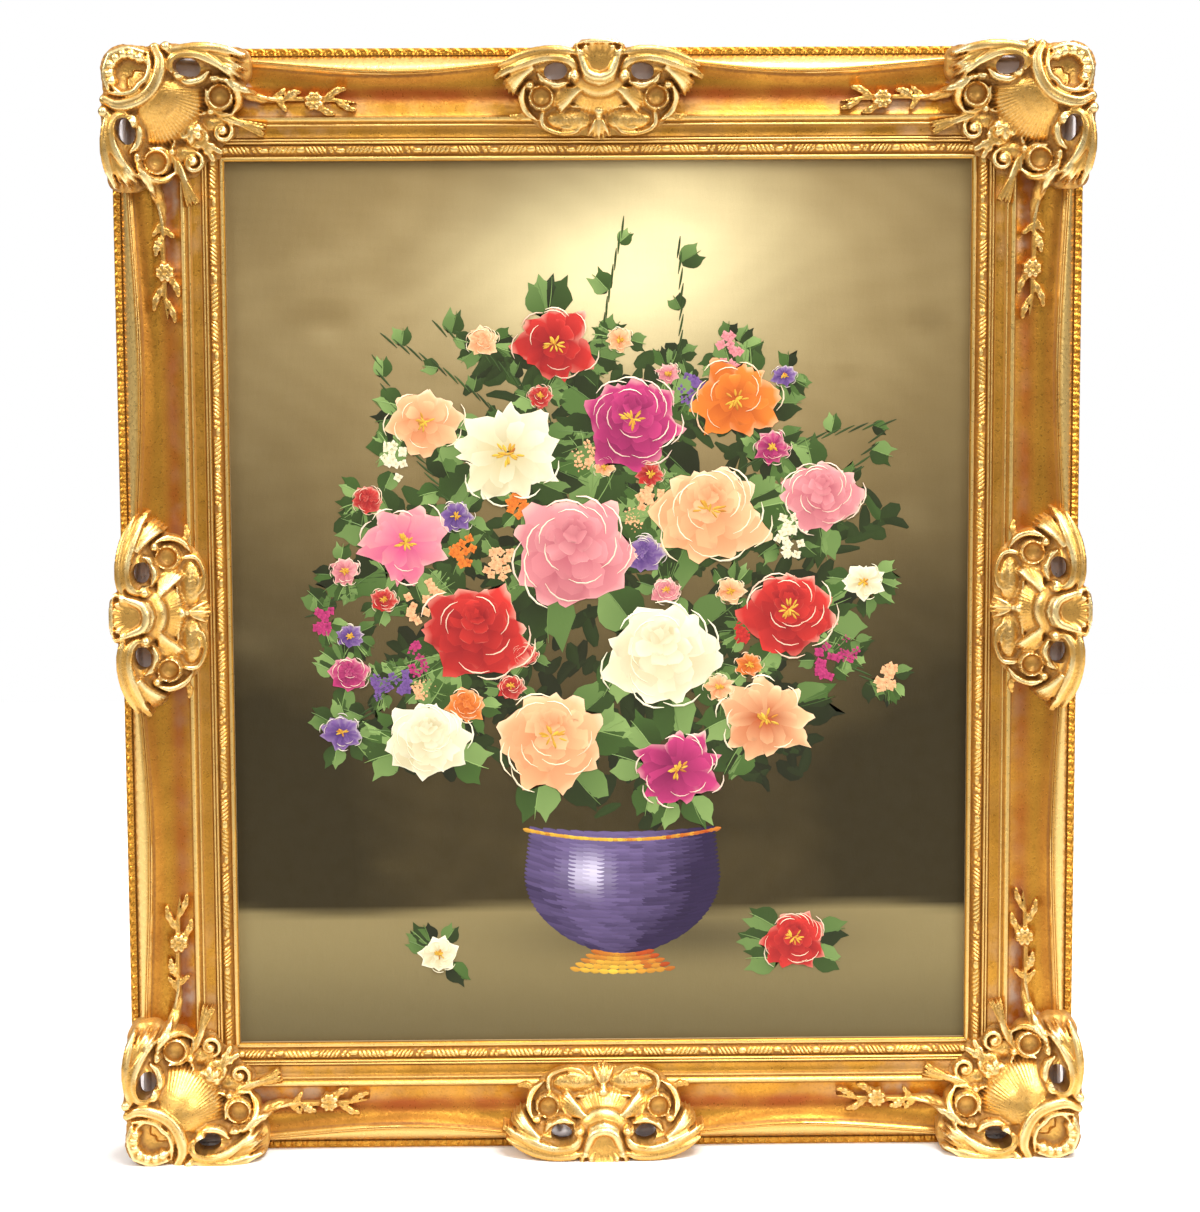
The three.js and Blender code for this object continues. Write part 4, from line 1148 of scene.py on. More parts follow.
class Finish:
    """A procedural material under construction."""

    def __init__(self, name: str) -> None:
        """Start a material with one shader."""
        self.material = bpy.data.materials.new(name)
        self.material.use_nodes = True
        self.nodes = self.material.node_tree.nodes
        self.links = self.material.node_tree.links
        self.shader = self.nodes["Principled BSDF"]
        self.coordinates = self.nodes.new("ShaderNodeTexCoord")

    def link(self, source: Socket, target: Socket) -> None:
        """Join two sockets."""
        self.links.new(source, target)

    def noise(self, scale: float, detail: float, stretch: Triple = (1, 1, 1)) -> Socket:
        """Noise over the object's own coordinates."""
        mapping = self.nodes.new("ShaderNodeMapping")
        mapping.inputs["Scale"].default_value = stretch
        self.link(self.coordinates.outputs["Object"], mapping.inputs["Vector"])
        texture = self.nodes.new("ShaderNodeTexNoise")
        texture.inputs["Scale"].default_value = scale
        texture.inputs["Detail"].default_value = detail
        self.link(mapping.outputs["Vector"], texture.inputs["Vector"])
        return texture.outputs["Fac"]

    def attribute(self, name: str, kind: str = "Fac") -> Socket:
        """A value stored on the mesh."""
        node = self.nodes.new("ShaderNodeAttribute")
        node.attribute_name = name
        return node.outputs[kind]

    def remap(self, value: Socket, low: float, high: float, to_low: float = 0.0,
              to_high: float = 1.0) -> Socket:
        """Map a value from one range to another, held at both ends."""
        node = self.nodes.new("ShaderNodeMapRange")
        for name, number in (("From Min", low), ("From Max", high), ("To Min", to_low), ("To Max", to_high)):
            node.inputs[name].default_value = number
        self.link(value, node.inputs["Value"])
        return node.outputs["Result"]

    def combine(self, operation: str, first: Socket, second: Socket | float) -> Socket:
        """Combine two values by arithmetic."""
        node = self.nodes.new("ShaderNodeMath")
        node.operation = operation
        self.link(first, node.inputs[0])
        if isinstance(second, (int, float)):
            node.inputs[1].default_value = second
        else:
            self.link(second, node.inputs[1])
        return node.outputs["Value"]

    def mix(self, factor: Socket, first: Tint | Socket,
            second: Tint | Socket) -> Socket:
        """Blend two colours by a factor."""
        node = self.nodes.new("ShaderNodeMix")
        node.data_type = "RGBA"
        self.link(factor, node.inputs["Factor"])
        for name, colour in (("A", first), ("B", second)):
            target = next(s for s in node.inputs if s.name == name and s.type == "RGBA")
            if isinstance(colour, Tint):
                target.default_value = colour.rgba
            else:
                self.link(colour, target)
        return next(s for s in node.outputs if s.type == "RGBA")

    def bump(self, height: Socket, strength: float, distance: float) -> None:
        """Raise the surface in the shading."""
        node = self.nodes.new("ShaderNodeBump")
        node.inputs["Strength"].default_value = strength
        node.inputs["Distance"].default_value = distance
        self.link(height, node.inputs["Height"])
        earlier = self.shader.inputs["Normal"]
        if earlier.is_linked:
            self.link(earlier.links[0].from_socket, node.inputs["Normal"])
        self.link(node.outputs["Normal"], earlier)


@dataclass(frozen=True)
class Gilding:
    """Gold leaf over bole, with toning and painted shade in its recesses, rubbing and painted highlights on
    its high places, a painted reflection in the bole band and pale painted light under the holes.
    """

    name: str
    leaf: Tint = Tint.screen(212, 152, 58)
    # Colour for rubbing and painted highlights on crests and raised points.
    rubbed_and_highlight: Tint = Tint.screen(250, 216, 138)
    # Colour for random toning and for the painted shade in recesses.
    toned_and_shade: Tint = Tint.screen(112, 64, 14)
    # Bole colour, also used for the painted reflection in the rail's cove.
    bole: Tint = Tint.screen(160, 78, 20)
    # Mauve wash colour; wash values above 1.2 bring in pale painted light instead.
    wash_and_hole_light: Tint = Tint.screen(178, 160, 148)
    wood: Tint = Tint.screen(200, 172, 128)
    # Pale painted light under the castings' holes.
    pale: Tint = Tint.screen(250, 246, 246)
    sink: Pair = (0.05, 1.1)
    # How dark the toning and painted shade in recesses go.
    shade_and_toning_strength: float = 0.85
    roughness: float = 0.31
    metal: float = 0.95

    def material(self) -> bpy.types.Material:
        """Build the material."""
        f = Finish(self.name)
        fine, broad = f.noise(520, 3), f.noise(34, 4)
        speckle = f.remap(fine, 0.52, 0.68)
        patch = f.remap(broad, 0.35, 0.7)
        recess = f.attribute("recess")
        colour = f.mix(f.combine("MULTIPLY", patch, 0.35), self.leaf, self.toned_and_shade)
        colour = f.mix(f.combine("MULTIPLY", speckle, 0.25), colour, self.toned_and_shade)
        # Painted highlights, with rubbing, where the recess value falls below zero.
        colour = f.mix(f.remap(recess, -0.1, -1.3, 0.0, 0.75), colour, self.rubbed_and_highlight)
        # The bole band, partly a painted reflection in the cove.
        bole = f.combine("MULTIPLY", f.attribute("bole"), f.remap(broad, 0.25, 0.6, 0.55, 1.0))
        colour = f.mix(bole, colour, self.bole)
        wash_and_hole_light = f.combine("MULTIPLY", f.attribute("wash_and_hole_light"), f.remap(f.noise(60, 5), 0.42, 0.62))
        colour = f.mix(wash_and_hole_light, colour, self.wash_and_hole_light)
        # Pale painted light under the castings' holes, where the wash value is over 1.2.
        colour = f.mix(f.remap(f.attribute("wash_and_hole_light"), 1.2, 1.9), colour, self.pale)
        # Painted shade, with toning, in recesses and on the castings' undersides.
        sunk = f.combine("MULTIPLY", f.remap(recess, *self.sink), f.remap(fine, 0.3, 0.6, 0.75, 1.0))
        colour = f.mix(f.combine("MULTIPLY", sunk, self.shade_and_toning_strength), colour, self.toned_and_shade)
        bare = f.attribute("bare")
        colour = f.mix(bare, colour, self.wood)
        f.link(colour, f.shader.inputs["Base Color"])
        dull = f.combine("MAXIMUM", f.combine("MAXIMUM", sunk, wash_and_hole_light), bare)
        f.link(f.remap(f.combine("MAXIMUM", dull, f.combine("MULTIPLY", bole, 0.5)), 0, 1, self.metal, 0.15),
               f.shader.inputs["Metallic"])
        rough = f.remap(fine, 0.3, 0.7, self.roughness - 0.06, self.roughness + 0.1)
        f.link(f.combine("ADD", rough, f.combine("MULTIPLY", dull, 0.3)), f.shader.inputs["Roughness"])
        f.bump(fine, 0.16, 0.0006)
        f.bump(f.noise(140, 4), 0.22, 0.0009)
        return f.material


@dataclass(frozen=True)
class Pine:
    """Bare planed pine with its grain along one way."""

    name: str
    upright: bool
    pale: Tint = Tint.screen(214, 184, 136)
    dark: Tint = Tint.screen(176, 134, 84)

    def material(self) -> bpy.types.Material:
        """Build the material."""
        f = Finish(self.name)
        stretch = (9, 9, 0.5) if self.upright else (0.5, 9, 9)
        grain = f.noise(18, 6, stretch)
        f.link(f.mix(f.remap(grain, 0.35, 0.68), self.pale, self.dark), f.shader.inputs["Base Color"])
        f.shader.inputs["Roughness"].default_value = 0.72
        f.bump(grain, 0.12, 0.0006)
        return f.material


@dataclass(frozen=True)
class Paint:
    """Acrylic paint in its mesh's own colours, over the weave of the canvas."""

    name: str
    weave: float
    gloss: float

    def material(self) -> bpy.types.Material:
        """Build the material."""
        f = Finish(self.name)
        f.link(f.attribute("paint", "Color"), f.shader.inputs["Base Color"])
        f.shader.inputs["Specular IOR Level"].default_value = 0.22
        f.link(f.remap(f.noise(90, 3), 0.3, 0.7, self.gloss, self.gloss + 0.18),
               f.shader.inputs["Roughness"])
        for direction in ("X", "Z"):
            wave = f.nodes.new("ShaderNodeTexWave")
            wave.bands_direction = direction
            wave.inputs["Scale"].default_value = 430
            wave.inputs["Distortion"].default_value = 2.5
            f.link(f.coordinates.outputs["Object"], wave.inputs["Vector"])
            f.bump(wave.outputs["Fac"], self.weave, 0.0004)
        f.bump(f.noise(260, 4, (1, 1, 0.35)), 0.25, 0.0006)
        return f.material


@dataclass(frozen=True)
class Receding:
    """A pale floor darkened in front by painted shade, so that the gilding has something darker to mirror.
    """

    name: str
    origin: float
    near: Tint = Tint.screen(243, 243, 243)
    # The far colour is painted shade on the floor in front of the picture.
    far: Tint = Tint.screen(150, 147, 143)
    start: float = 0.22
    end: float = 0.9

    def material(self) -> bpy.types.Material:
        """Build the material, measured from where the picture stands on the floor."""
        f = Finish(self.name)
        split = f.nodes.new("ShaderNodeSeparateXYZ")
        f.link(f.coordinates.outputs["Object"], split.inputs[0])
        f.link(f.mix(f.remap(split.outputs["Y"], self.origin - self.start, self.origin - self.end),
                     self.near, self.far),
               f.shader.inputs["Base Color"])
        f.shader.inputs["Roughness"].default_value = 0.9
        return f.material


class Bloom(Enum):
    """Kinds of painted flower."""

    ROSE = "rose"
    DAISY = "daisy"
    CUP = "cup"
    SPRIG = "sprig"


@dataclass(frozen=True)
class Flower:
    """One painted flower: its kind, place, size and colours."""

    kind: Bloom
    x: float
    y: float
    size: float
    light: Tint
    dark: Tint


class Palette:
    """The painting's colours."""

    GROUND = Tint.screen(140, 118, 74)
    GLOW = Tint.screen(244, 226, 172)
    SHADE = Tint.screen(46, 37, 10)
    TABLE = Tint.screen(138, 122, 80)
    LEAF_DARK = Tint.screen(34, 36, 18)
    LEAF = Tint.screen(66, 92, 40)
    LEAF_LIGHT = Tint.screen(134, 160, 92)
    BOWL = Tint.screen(104, 88, 128)
    BOWL_DARK = Tint.screen(44, 32, 60)
    BOWL_LIGHT = Tint.screen(214, 206, 226)
    PINK = Tint.screen(226, 150, 150)
    PINK_DARK = Tint.screen(164, 70, 84)
    PEACH = Tint.screen(240, 190, 140)
    PEACH_DARK = Tint.screen(196, 112, 66)
    RED = Tint.screen(206, 54, 46)
    RED_DARK = Tint.screen(112, 20, 26)
    MAGENTA = Tint.screen(196, 62, 116)
    MAGENTA_DARK = Tint.screen(104, 22, 62)
    CREAM = Tint.screen(244, 234, 202)
    CREAM_DARK = Tint.screen(186, 168, 118)
    ORANGE = Tint.screen(234, 132, 50)
    ORANGE_DARK = Tint.screen(166, 68, 24)
    VIOLET = Tint.screen(128, 92, 152)
    VIOLET_DARK = Tint.screen(62, 38, 92)
    HEART = Tint.screen(216, 176, 60)


class Strokes:
    """Raised dabs of paint, gathered into one mesh with its own colours."""

    STATIONS = 5
    SHARPNESS = 1 - 0.75 * 0.55

    def __init__(self, base: float, seed: int) -> None:
        """Start with no strokes, on a surface at a given height."""
        self.base = base
        self.rng = np.random.default_rng(seed)
        self.points: list[Array] = []
        self.faces: list[list[int]] = []
        self.colours: list[Array] = []
        self.count = 0
        self.layer = 0.0

    def stroke(self, x: float, y: float, turn: float, length: float, width: float, tint: Array,
               bend: float = 0.0, thickness: float = 0.28) -> None:
        """Lay one closed stroke.

        Args:
            x: its middle, to the right.
            y: its middle, upward.
            turn: the way it runs, in radians.
            length: its length.
            width: its greatest width.
            tint: its colour.
            bend: how far it curves, in radians.
            thickness: height of its crown.
        """
        t = np.linspace(0, 1, self.STATIONS)
        heading = turn + bend * (t - 0.5)
        step = length / (self.STATIONS - 1)
        px = np.concatenate([[0], np.cumsum(np.cos(heading[:-1]) * step)])
        py = np.concatenate([[0], np.cumsum(np.sin(heading[:-1]) * step)])
        px, py = px - px.mean() + x, py - py.mean() + y
        half = width / 2 * np.clip(np.sin(np.pi * (0.04 + 0.92 * t)), 0, 1) ** self.SHARPNESS
        half = half * self.rng.uniform(0.88, 1.08, self.STATIONS)
        nx, ny = -np.sin(heading) * half, np.cos(heading) * half
        low = self.base + self.layer
        top = low + thickness
        left = np.stack([px + nx, py + ny, np.full_like(t, low)], -1)
        right = np.stack([px - nx, py - ny, np.full_like(t, low)], -1)
        ridge = np.stack([px + 0.35 * nx, py + 0.35 * ny, top * np.ones_like(t)], -1)
        valley = np.stack([px - 0.45 * nx, py - 0.45 * ny, np.full_like(t, low + 0.7 * thickness)], -1)
        rows = [left, ridge, valley, right]
        n, first = self.STATIONS, self.count
        self.points += rows
        for r in range(3):
            for k in range(n - 1):
                a = first + r * n + k
                self.faces.append([a, a + n, a + n + 1, a + 1])
        rim = [first + k for k in range(n)] + [first + 3 * n + k for k in range(n - 1, -1, -1)]
        self.faces.append(rim)
        self.faces.append([first, first + 3 * n, first + 2 * n, first + n])
        self.faces.append([first + n - 1, first + 2 * n - 1, first + 3 * n - 1, first + 4 * n - 1])
        shade = 1 + self.rng.normal(0, 0.05, (4, 1)) + np.array([[-0.06], [0.08], [0.0], [-0.08]])
        self.colours.append(np.clip(np.repeat(tint[None] * shade, n, 0), 0, 1))
        self.count += 4 * n
        self.layer += 0.00005

    def petal(self, x: float, y: float, turn: float, length: float, width: float, base: Array, tip: Array,
              thickness: float = 0.4, point: float = 0.5, edge: Array | None = None,
              grid: tuple[int, int] = (6, 4)) -> None:
        """Lay one closed petal that opens outward from its foot.

        Args:
            x: its foot, to the right.
            y: its foot, upward.
            turn: the way it points, in radians.
            length: its length.
            width: its greatest half width.
            base: colour at its foot.
            tip: colour towards its tip.
            thickness: height of its crown.
            point: how pointed it is, from 0.3 for blunt to 2 for sharp.
            edge: colour of its very edge, or none.
            grid: how many rows and columns of points it has.
        """
        rows, columns = grid
        t = np.linspace(0, 1, rows)[:, None]
        c = np.linspace(-1, 1, columns)[None, :]
        ruffle = 1 + self.rng.normal(0, 0.05 if point < 1 else 0.0, (1, columns))
        half = width * np.clip(np.sin(np.pi * np.clip(0.1 + 0.84 * t, 0, 1)), 0, 1) ** point
        along = length * (0.06 + 0.94 * t) * ruffle * (1 - 0.2 * c**2 * t)
        across = half * c * (1 + self.rng.normal(0, 0.03, (rows, 1)))
        bend = self.rng.normal(0, 0.12)
        angle = turn + bend * t
        px = x + along * np.cos(angle) - across * np.sin(angle)
        py = y + along * np.sin(angle) + across * np.cos(angle)
        low = self.base + self.layer
        border = (np.abs(c) > 0.99) | (t < 0.01) | (t > 0.99)
        pz = np.where(border, low, low + thickness * (0.4 + 0.6 * t) * (1 - 0.5 * c**2))
        shade = np.clip(t**1.2 + self.rng.normal(0, 0.07, (1, columns)), 0, 1)[..., None]
        colour = base * (1 - shade) + tip * shade
        if edge is not None:
            rim = np.clip((t > 0.99) * 0.8 + (np.abs(c) > 0.99) * (t > 0.45) * 0.5, 0, 1)[..., None]
            colour = colour * (1 - rim) + edge * rim
        first = self.count
        self.points.append(np.stack([px, py, pz], -1).reshape(-1, 3))
        self.colours.append(np.clip(colour, 0, 1).reshape(-1, 3))
        for r in range(rows - 1):
            for k in range(columns - 1):
                a = first + r * columns + k
                self.faces.append([a, a + columns, a + columns + 1, a + 1])
        rim = [first + k for k in range(columns)]
        rim += [first + r * columns + columns - 1 for r in range(1, rows)]
        rim += [first + (rows - 1) * columns + k for k in range(columns - 2, -1, -1)]
        rim += [first + r * columns for r in range(rows - 2, 0, -1)]
        self.faces.append(rim)
        self.count += rows * columns
        self.layer += 0.00012

    def mixed(self, dark: Tint, light: Tint, share: float) -> Array:
        """A colour between two others, a little off at random."""
        share = np.clip(share + self.rng.normal(0, 0.1), 0, 1)
        return (dark.array * (1 - share) + light.array * share) * self.rng.uniform(0.92, 1.08)

    def build(self, name: str, picture: Picture) -> Piece:
        """Make the mesh of all strokes."""
        points = np.concatenate(self.points)
        points[:, 0] = np.clip(points[:, 0], -picture.half_width - 3, picture.half_width + 3)
        points[:, 1] = np.clip(points[:, 1], -picture.half_height - 3, picture.half_height + 3)
        piece = new_piece(name, picture.place(points), self.faces)
        store_colours(piece, np.concatenate(self.colours))
        return piece


def store_colours(piece: Piece, colours: Array) -> None:
    """Store one paint colour for each vertex."""
    layer = piece.data.color_attributes.new("paint", "FLOAT_COLOR", "POINT")
    rgba = np.column_stack([colours, np.ones(len(colours))]).astype(np.float32)
    layer.data.foreach_set("color", rgba.ravel())


@dataclass
class Painting:
    """The painted canvas: its cloth folded over the bars, and a still life laid on in strokes."""

    picture: Picture
    cover: float = 5.0
    sheet: float = 0.9
    columns: int = 104
    rows: int = 124
    seed: int = 5
    table_line: float = -208.0
    bowl_middle: Pair = (14.0, -186.0)
    bowl_radii: Pair = (70.0, 52.0)
    turn_in: float = 20.0
    blooms: int = 62
    bloom_growth: float = 1.16
    foliage_dabs: int = 1000
    bowl_rows: int = 30

    @property
    def half_size(self) -> Pair:
        """Half the stretched canvas."""
        return self.picture.half_width + self.cover, self.picture.half_height + self.cover

    def ground_colour(self, x: Array, y: Array) -> Array:
        """The painted ground: a warm glow above, shade below and a strip of table."""
        rng = np.random.default_rng(self.seed)
        clouds = np.zeros_like(x)
        for _ in range(26):
            cx, cy, s = rng.uniform(-260, 260), rng.uniform(-300, 300), rng.uniform(30, 110)
            clouds += rng.normal(0, 0.5) * np.exp(-(((x - cx) / s) ** 2 + ((y - cy) / (0.6 * s)) ** 2))
        glow = np.exp(-(((x - 20) / 95) ** 2 + ((y - 236) / 62) ** 2)) * 0.95
        for _ in range(150):
            cx, cy, s = rng.uniform(-260, 260), rng.uniform(-300, 300), rng.uniform(10, 34)
            far = ((x - cx + 0.4 * (y - cy)) / s) ** 2 + ((y - cy) / (0.5 * s)) ** 2
            clouds += rng.normal(0, 0.28) * np.exp(-far)
        glow = glow + np.exp(-(((x + 10) / 170) ** 2 + ((y - 200) / 100) ** 2)) * 0.16 + 0.12 * clouds
        shade = smooth_step(230, -150, y) * 0.92 - 0.10 * clouds
        shade = shade + smooth_step(110, 250, np.abs(x)) * 0.22
        brushed = 0.015 * np.sin(x / 9 + 3 * np.sin(y / 23)) * np.sin(y / 7 + 2 * np.sin(x / 31))
        glow, shade = glow + brushed, shade - brushed
        colour = Palette.GROUND.array + np.zeros(x.shape + (3,))
        colour = colour + (Palette.GLOW.array - colour) * np.clip(glow, 0, 1)[..., None]
        colour = colour + (Palette.SHADE.array - colour) * np.clip(shade, 0, 1)[..., None]
        table = smooth_step(self.table_line + 3, self.table_line - 5, y + 2.5 * np.sin(x / 37))
        far = smooth_step(self.table_line - 10, -300, y)[..., None]
        top = Palette.TABLE.array * (1 - 0.45 * far)
        colour = colour * (1 - table[..., None]) + top * table[..., None]
        bx, by = self.bowl_middle
        shadow = np.exp(-(((x - bx - 40) / 110) ** 2 + ((y - by + 42) / 18) ** 2)) * table
        return colour * (1 - 0.6 * shadow[..., None])

    def cloth(self) -> Piece:
        """The canvas itself, one sheet over the front and folded back around the four edges."""
        hx, hy = self.half_size
        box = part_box("canvas")
        front = self.picture.canvas_front
        back = -box[1].y / MM - self.picture.rail_depth
        turn_in = self.turn_in
        xs, ys = np.linspace(-hx, hx, self.columns), np.linspace(-hy, hy, self.rows)
        gx, gy = np.meshgrid(xs, ys, indexing="ij")
        points = [np.stack([gx, gy, np.full_like(gx, front)], -1).reshape(-1, 3)]
        faces = []
        nx, ny = self.columns, self.rows
        for i in range(nx - 1):
            for j in range(ny - 1):
                a = i * ny + j
                faces.append([a, a + ny, a + ny + 1, a + 1])
        rim = [i * ny for i in range(nx)] + [(nx - 1) * ny + j for j in range(1, ny)]
        rim += [i * ny + ny - 1 for i in range(nx - 2, -1, -1)] + [j for j in range(ny - 2, 0, -1)]
        edge = points[0][rim]
        loops = [rim]
        start = nx * ny
        t = self.sheet
        rings = [(0.0, back), (turn_in, back), (turn_in, back + t), (t, back + t), (t, front - t)]
        for inset, z in rings:
            ring = edge.copy()
            ring[:, 0] = np.clip(ring[:, 0], -hx + inset, hx - inset)
            ring[:, 1] = np.clip(ring[:, 1], -hy + inset, hy - inset)
            ring[:, 2] = z
            points.append(ring)
            loops.append(list(range(start, start + len(rim))))
            start += len(rim)
        for outer, inner in zip(loops, loops[1:]):
            for k in range(len(rim)):
                m = (k + 1) % len(rim)
                faces.append([outer[m], outer[k], inner[k], inner[m]])
        faces.append(loops[-1][::-1])
        everything = np.concatenate(points)
        piece = new_piece("painted_cloth", self.picture.place(everything), faces)
        colours = self.ground_colour(everything[:, 0], everything[:, 1])
        raw = Tint.screen(214, 204, 178).array
        folded = (everything[:, 2] < front - 0.5 * self.sheet)[:, None]
        store_colours(piece, np.where(folded, raw, colours))
        activate(piece)
        bpy.ops.object.mode_set(mode="EDIT")
        bpy.ops.mesh.select_all(action="SELECT")
        bpy.ops.mesh.remove_doubles(threshold=0.00001)
        bpy.ops.mesh.dissolve_degenerate()
        bpy.ops.mesh.normals_make_consistent(inside=False)
        bpy.ops.object.mode_set(mode="OBJECT")
        soften(piece, 40)
        return piece

    def paint_bowl(self, s: Strokes) -> None:
        """Paint the footed bowl with its gilded rim and foot."""
        bx, by = self.bowl_middle
        rx, ry = self.bowl_radii
        for row in range(self.bowl_rows):
            v = 0.62 - 1.6 * row / (self.bowl_rows - 1)
            reach = rx * math.sqrt(1 - min(v, 0.0) ** 2) * (1 - 0.10 * max(v, 0))
            count = max(3, int(reach / 5))
            for k in range(count):
                u = (k + 0.5) / count * 2 - 1
                light = 0.42 - 0.75 * (u + 0.28) ** 2 + 0.35 * v
                tint = s.mixed(Palette.BOWL_DARK, Palette.BOWL, light + 0.35)
                shine = 0.9 * math.exp(-((u + 0.36) ** 2 / 0.025 + (v - 0.1) ** 2 / 0.05))
                tint = tint * (1 - shine) + Palette.BOWL_LIGHT.array * shine
                s.stroke(bx + 0.93 * reach * u, by + ry * v - 3 * (1 - u * u), 0.3 * u, 15, 4.4, tint, 0.4,
                         0.12)
        for k in range(40):
            u = k / 39 * 2 - 1
            tint = s.mixed(Palette.ORANGE_DARK, Palette.HEART,
                           0.55 - 0.5 * abs(u + 0.3) + s.rng.uniform(0, 0.5))
            s.stroke(bx + 0.92 * rx * u, by + 0.62 * ry - 7 * (1 - u * u), 0.25 * u, 7, 3.2, tint, 0.2, 0.3)
        for row in range(5):
            for k in range(11):
                u = k / 10 * 2 - 1
                tint = s.mixed(Palette.ORANGE_DARK, Palette.HEART, 0.5 - 0.5 * abs(u + 0.3) + 0.12 * row)
                s.stroke(bx + (18 + 3.6 * row) * u, by - ry - 1 - 3 * row - 2 * (1 - u * u), 0.2 * u, 7.5,
                         3.6, tint, 0.2, 0.25)

    def paint_foliage(self, s: Strokes) -> None:
        """Paint the dark mass of leaves and the stems that leave it."""
        for _ in range(self.foliage_dabs):
            w, r = s.rng.uniform(0, 2 * math.pi), math.sqrt(s.rng.uniform(0, 1))
            x = 4 + 190 * r * math.cos(w) + 14 * math.sin(3 * w)
            y = 14 + 178 * r * math.sin(w) + 12 * math.cos(4 * w)
            if y < -186 or r > 0.84 + 0.16 * math.sin(7 * w):
                continue
            share = 0.10 + 0.3 * (y > 20) * s.rng.uniform(0, 1)
            tint = s.mixed(Palette.LEAF_DARK, Palette.LEAF, share)
            s.stroke(x, y, w + s.rng.normal(0, 0.9), s.rng.uniform(12, 28), s.rng.uniform(6, 12), tint,
                     s.rng.normal(0, 0.7), 0.12)
        for w, reach, bend in ((0.25, 222, 0.5), (0.72, 232, -0.4), (1.2, 240, 0.3), (1.62, 248, -0.2),
                               (2.1, 232, 0.4),
                               (2.62, 226, -0.5), (2.95, 210, 0.5), (-0.12, 206, -0.4), (3.4, 200, 0.4),
                               (1.9, 216, 0.5)):
            for k in range(12):
                f = k / 11
                r = 130 + (reach - 130) * f
                turn = w + bend * f * 0.5
                x, y = 4 + 0.94 * r * math.cos(turn), 8 + r * math.sin(turn)
                s.stroke(x, y, turn + 0.3 * bend, 15, 1.5, s.mixed(Palette.LEAF_DARK, Palette.LEAF, 0.5),
                         bend * 0.3)
                if k % 3 == 1:
                    hand = 1 if k % 2 else -1
                    self.paint_leaf(s, x, y, turn + 0.8 * hand, s.rng.uniform(12, 20))

    def paint_leaf(self, s: Strokes, x: float, y: float, turn: float, size: float) -> None:
        """Paint one rounded leaf, its two halves lit unequally."""
        share = s.rng.uniform(0.0, 1.0)
        for hand in (-1, 1):
            dark = Palette.LEAF_DARK if hand < 0 else Palette.LEAF
            light = Palette.LEAF if hand < 0 else Palette.LEAF_LIGHT
            s.petal(x, y, turn + 0.26 * hand, size, 0.34 * size, s.mixed(dark, light, share * 0.6),
                    s.mixed(dark, light, share), 0.3, 0.8, grid=(6, 3))
        s.stroke(x + 0.5 * size * math.cos(turn), y + 0.5 * size * math.sin(turn), turn, 0.8 * size, 0.9,
                 s.mixed(Palette.LEAF, Palette.LEAF_LIGHT, share), 0.2, 0.4)

    def leaves_around(self, s: Strokes, flower: Flower, count: int) -> None:
        """Tuck a few lit leaves around a flower."""
        for _ in range(count):
            w = s.rng.uniform(0, 2 * math.pi)
            reach = 0.62 * flower.size
            x, y = on_circle((flower.x, flower.y), reach, w)
            self.paint_leaf(s, x, y, w + s.rng.normal(0, 0.3), s.rng.uniform(0.5, 0.8) * flower.size + 7)

    def paint_flower(self, s: Strokes, flower: Flower) -> None:
        """Paint one flower with petals in rings, darker towards its heart."""
        x, y, size = flower.x, flower.y, flower.size
        if flower.kind is Bloom.SPRIG:
            for _ in range(int(6 + 0.8 * size)):
                w, r = s.rng.uniform(0, 6.3), size * math.sqrt(s.rng.uniform(0, 1))
                for k in range(4):
                    turn = w + 1.57 * k
                    s.petal(x + 0.8 * r * math.cos(w), y + r * math.sin(w), turn, 3.6, 1.5,
                            s.mixed(flower.dark, flower.light, 0.4),
                            s.mixed(flower.dark, flower.light, 0.9), 0.3,
                            grid=(4, 3))
            return
        rings = {
            Bloom.ROSE: ((1.0, 8, 0.44), (0.84, 8, 0.40), (0.66, 7, 0.36), (0.5, 6, 0.32), (0.36, 5, 0.3),
                         (0.22, 4, 0.3)),
            Bloom.DAISY: ((1.0, 9, 0.34), (0.78, 9, 0.3)),
            Bloom.CUP: ((1.0, 7, 0.4), (0.8, 6, 0.36), (0.55, 5, 0.34)),
        }[flower.kind]
        tilt = s.rng.uniform(0, 2 * math.pi)
        squash = 0.86
        for number, (reach, petals, width) in enumerate(rings):
            drift = 0.07 * number * size
            for k in range(petals):
                w = tilt + 2 * math.pi * (k + 0.5 * number) / petals + s.rng.normal(0, 0.13)
                lit = 0.5 + 0.5 * math.sin(w + 0.5) * (1 if number < 3 else -0.7)
                length = reach * size * s.rng.uniform(0.9, 1.08)
                length = length * math.hypot(math.cos(w), squash * math.sin(w))
                s.petal(x, y + drift, w, length, width * size * (0.7 + 0.3 * reach),
                        s.mixed(flower.dark, flower.light, 0.02 + 0.22 * lit),
                        s.mixed(flower.dark, flower.light, 0.62 + 0.42 * lit - 0.10 * (number > 3)), 0.45,
                        0.5,
                        s.mixed(flower.light, Palette.CREAM, 0.55 * lit), (7, 5) if size > 20 else (5, 3))
                if number < 4 and s.rng.uniform() < 0.5:
                    rim = 0.93 * length
                    s.stroke(x + rim * math.cos(w), y + drift + rim * math.sin(w), w + math.pi / 2,
                             1.5 * width * size, 0.028 * size + 0.3,
                             s.mixed(flower.light, Palette.CREAM, 0.75), 1.5, 0.7)
        heart = 0.17 * size
        if flower.kind is not Bloom.ROSE or s.rng.uniform() < 0.45:
            for k in range(16):
                w, r = s.rng.uniform(0, 6.3), heart * s.rng.uniform(0.2, 1.3)
